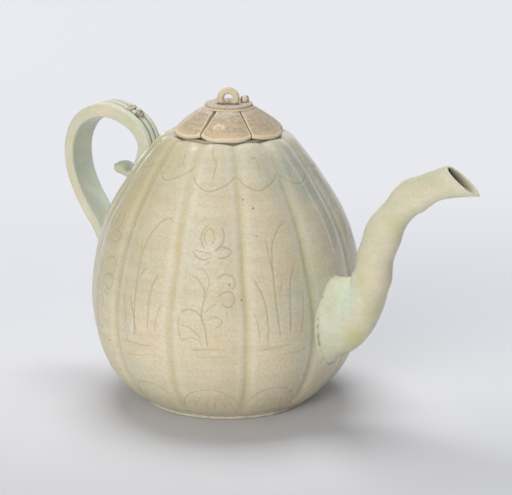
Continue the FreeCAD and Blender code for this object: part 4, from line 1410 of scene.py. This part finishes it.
def makeLid(materials):
    form = lidForm
    rows, poolAndShade, pale, slopes = lidRows()
    x, y = rows[:, :, 0] - form["centre"][0], rows[:, :, 1] - form["centre"][1]
    radial = np.hypot(x, y)
    turns = np.degrees(np.arctan2(y, x)) % 360
    # thrown lines round the slope and a greyer band under the cap
    band = form["band"] + unevenness(rows, 18, 43) * 0.9
    step = bell(radial, band, 0.6)
    throwing = np.sin(radial * fullTurn / form["throwing"] + unevenness(rows, 30, 44)) * 0.05
    rows[slopes, :, 2] -= (step * 0.2 - throwing)[slopes]
    stained = step * 0.35 * smoothStep(unevenness(rows, 14, 45), -0.8, 0.6)
    poolAndShade[slopes] = np.maximum(poolAndShade, stained)[slopes]
    # a blister and a rim chip on the front petal
    blister, chip = (np.hypot(degreesApart(turns, form[mark][0]) * math.radians(1) * radial / long,
                              (radial - form[mark][1]) / wide)
                     for mark, (long, wide) in (("blister", form["blisterSize"]),
                                                ("chip", form["chipSize"])))
    swelling, dent = bell(blister, 0, 1), bell(chip, 0, 1)
    rows[slopes, :, 2] += (swelling * 0.45 - dent * 0.25)[slopes]
    # painted highlight: a pale ring round the blister's edge
    ring = bell(blister, 0.95, 0.28) * smoothStep(unevenness(rows, 5, 46), -1.0, 0.2)
    pale[slopes] = np.maximum(pale, ring)[slopes]
    poolAndShade[slopes] = np.maximum(poolAndShade, dent * 0.6)[slopes]
    low = smoothStep(radial, 30, 35.5) * 0.5 + swelling * 0.5
    lid = skin("lidDome", rows, tints={
        "poolAndShade": poolAndShade, "pale": pale, "cool": smoothStep(radial, band + 0.6, band - 1.2) * 0.8,
        "blush": np.clip(low, 0, 1)})
    return finishPiece(lid, materials["lidGlaze"], "lid", "lid_glaze", "lid_dome")


capForm = {
    "profile": [(0.0, 195.75), (6.0, 195.8), (10.5, 196.0), (13.2, 196.2), (14.5, 196.05), (15.2, 195.5),
                (15.4, 194.8), (15.5, 194.3), (15.95, 193.95), (16.4, 193.8), (16.6, 193.5),
                (16.45, 193.2), (16.0, 193.05), (8.0, 193.15), (0.0, 193.15)],
    "columns": 200, "loopReach": 5.4, "loopWidth": 2.1,
    "dark": [(0.2, -6.2, 196, 2.0, 1.0), (-2.4, -5.0, 196, 1.5, 0.8), (2.7, -7.6, 196, 1.4, 0.6),
             (11.3, -0.5, 196, 1.5, 0.6), (10.6, 3.0, 196, 1.0, 0.25)],
}


def makeCap(materials):
    form = capForm
    rows = spun(smoothLine(form["profile"], 0.35), form["columns"], lidForm["centre"])
    outside = smoothStep(np.hypot(rows[:, :, 0], rows[:, :, 1]), 5, 14)
    rows[:, :, 2] += np.minimum(unevenness(rows, 12, 51) * 0.10, 0.02) * outside
    z = rows[:, :, 2]
    lip = smoothStep(z, 194.2, 193.8) * smoothStep(z, 193.2, 193.5)
    # glaze run together round the loop's foot
    turn = math.radians(-loopForm["turn"])
    x, y = rows[:, :, 0] - loopForm["centre"][0], rows[:, :, 1] - loopForm["centre"][1]
    along = x * math.cos(turn) + y * math.sin(turn)
    across = y * math.cos(turn) - x * math.sin(turn)
    loopGap = np.hypot(np.maximum(np.abs(along) - form["loopReach"], 0), across) - form["loopWidth"]
    loopGap = loopGap + unevenness(rows, 5, 53) * 0.4
    glaze = smoothStep(loopGap, 1.1, 0.2) * 0.8 + spotMask(rows, form["dark"])
    band = smoothStep(z, 195.6, 195.0) * smoothStep(z, 193.9, 194.3) * 0.2
    cap = skin("lidCapDisc", rows, tints={
        "pale": lip * 0.35, "blush": lip * 0.8, "poolAndShade": np.clip(glaze * (z > 195) + band, 0, 1),
        "cool": smoothStep(z, 194.0, 195.4)})
    return finishPiece(cap, materials["lidGlaze"], "lid", "lid_glaze", "lid_cap_disc")


lidRingForm = {
    "profile": [(24.0, 177.6), (24.0, 172.0), (23.8, 170.0), (23.3, 169.15), (22.5, 169.0),
                (21.7, 169.15), (21.2, 170.0), (21.0, 172.0), (21.0, 177.6)],
    "columns": 120,
}


def makeLidRing(materials):
    rows = spun(smoothLine(lidRingForm["profile"], 0.5), lidRingForm["columns"], lidForm["centre"])
    pale = smoothStep(rows[:, :, 2], 170.2, 169.2) * 0.6
    ring = skin("lidLocatingRing", rows, loop=True, tints={"pale": pale})
    return finishPiece(ring, materials["lidGlaze"], "lid", "lid_glaze", "lid_locating_ring")


loopForm = {
    "turn": -33.0, "centre": (3.40, -1.94), "around": 28, "pale": 0.75,
    "coils": [  # ring radius, cord radius, turns, spread, place, tilt, steps and glaze at the foot
        (5.0, 2.22, 1.12, 0.4, (3.40, -1.94, 199.5), 90, 120, 0.0),
        (1.35, 0.5, 1.1, 0.3, (0.15, -5.9, 196.75), 62, 40, 1.0),
        (0.8, 1.0, 0.9, 0.5, (2.0, -0.3, 196.6), 30, 30, 0.35)],
    "dark": [(-1.6, -5.4, 199.3, 1.3, 0.6)],
}


def clayLoopTree():
    # one bent clay cord: a tight coil swept by a round section
    tree, given, end = newTree("clayLoop", "GeometryNodeTree", [
        ("Geometry", "Geometry", None), ("Ring radius", "Float", 0.005), ("Cord radius", "Float", 0.002),
        ("Turns", "Float", 1.0), ("Spread", "Float", 0.0005), ("Steps", "Int", 96), ("Around", "Int", 24),
        ("Place", "Vector", None), ("Facing", "Vector", None), ("Material", "Material", None)],
        [("Geometry", "Geometry")])
    radius = given["Ring radius"]
    coil = take(tree, "GeometryNodeCurveSpiral", {
        "Resolution": given["Steps"], "Rotations": given["Turns"], "Start Radius": radius,
        "End Radius": radius, "Height": given["Spread"]})
    inputs = {"Resolution": given["Around"], "Radius": given["Cord radius"]}
    section = take(tree, "GeometryNodeCurvePrimitiveCircle", inputs)
    inputs = {"Curve": coil, "Profile Curve": section, "Fill Caps": True}
    cord = take(tree, "GeometryNodeCurveToMesh", inputs)
    inputs = {"Geometry": cord, "Translation": given["Place"], "Rotation": given["Facing"]}
    finishTree(take(tree, "GeometryNodeTransform", inputs), given["Material"], end)
    return tree


def makeLoop(materials):
    form, tree, parts = loopForm, clayLoopTree(), []
    for ring, cord, turns, spread, place, tilt, steps, dark in form["coils"]:
        seed = bpy.data.meshes.new("lidLoop")
        seed.from_pydata([(0, 0, 0)], [], [])
        made = applied(tree, "lidLoop", seed, {
            "Ring radius": ring * mm, "Cord radius": cord * mm, "Turns": turns, "Spread": spread * mm,
            "Steps": steps, "Around": form["around"], "Place": tuple(value * mm for value in place),
            "Facing": (math.radians(tilt), 0, math.radians(-form["turn"])),
            "Material": materials["lidGlaze"]})
        places = readPlaces(made)
        foot = smoothStep(places[:, 2], 197.2, 196.3)
        poolAndShade = np.clip(foot + dark + spotMask(places, form["dark"]), 0, 1)
        setFloats(made, "poolAndShade", poolAndShade)
        setFloats(made, "pale", form["pale"] * (1 - poolAndShade))
        parts.append(made)
    loop = pieceFromParts("lidLoop", parts)
    return finishPiece(loop, materials["lidGlaze"], "lid", "lid_glaze", "lid_loop")


budForm = {
    "turn": 43.0, "start": 7.5, "height": 197.4, "columns": 40, "pale": 0.75,
    "profile": [(0.0, 0.0), (1.5, 0.15), (2.5, 0.8), (3.05, 1.9), (3.15, 3.0), (2.9, 4.1), (2.3, 4.9),
                (1.7, 5.3), (1.2, 5.2), (0.7, 5.0), (0.0, 4.9)],
    "dark": [(11.0, 8.2, 200.0, 1.1, 1.2), (12.2, 7.3, 198.0, 0.8, 0.9), (7.6, 6.0, 199.2, 0.8, 0.8),
             (9.4, 5.4, 195.9, 1.4, 0.9), (11.5, 6.8, 196.1, 1.3, 0.9)],
}


def makeBud(materials):
    form = budForm
    profile = smoothLine(form["profile"], 0.25)
    turn = math.radians(form["turn"])
    along = np.array([math.cos(turn), math.sin(turn), 0])
    side = np.array([-math.sin(turn), math.cos(turn), 0])
    angle = anglesAround(form["columns"])
    radius, reach = profile[:, 0][:, None], profile[:, 1][:, None]
    base = np.array([*lidForm["centre"], form["height"]])
    rows = (base + along * (form["start"] + reach)[:, :, None]
            + side * (radius * np.cos(angle))[:, :, None]
            + np.array([0, 0, 1.0]) * (radius * np.sin(angle))[:, :, None])
    tip = bell(reach, 4.9, 0.6) * np.clip(np.sin(angle + 0.3), 0, 1) ** 6
    under = smoothStep(rows[:, :, 2], 196.3, 195.7)
    poolAndShade = np.clip(smoothStep(reach, 1.3, 0.4) + under + tip * 0.9
                   + smoothStep(radius, 1.7, 1.2) * (reach > 4) + spotMask(rows, form["dark"]), 0, 1)
    bud = skin("lidBud", rows, tints={"poolAndShade": poolAndShade, "pale": form["pale"] * (1 - poolAndShade)})
    return finishPiece(bud, materials["lidGlaze"], "lid", "lid_glaze", "lid_bud")


makeCamera()
makeStudio()
print("camera, floor and light made")
makeGroups()
materials = {name: makeGlaze(name) for name in glazeNames}
print("materials made")
body = makeBody(materials)
openInlet(body)
finishPiece(body, materials["bodyGlaze"], "ewer", "body_glaze", "body_shell")
makeFoot(materials)
makeCollar(materials)
makeSpout(materials)
makeStrap(materials)
makeCurl(materials)
makeStub("front", materials)
makeStub("rear", materials)
makeLid(materials)
makeCap(materials)
makeLidRing(materials)
makeLoop(materials)
makeBud(materials)
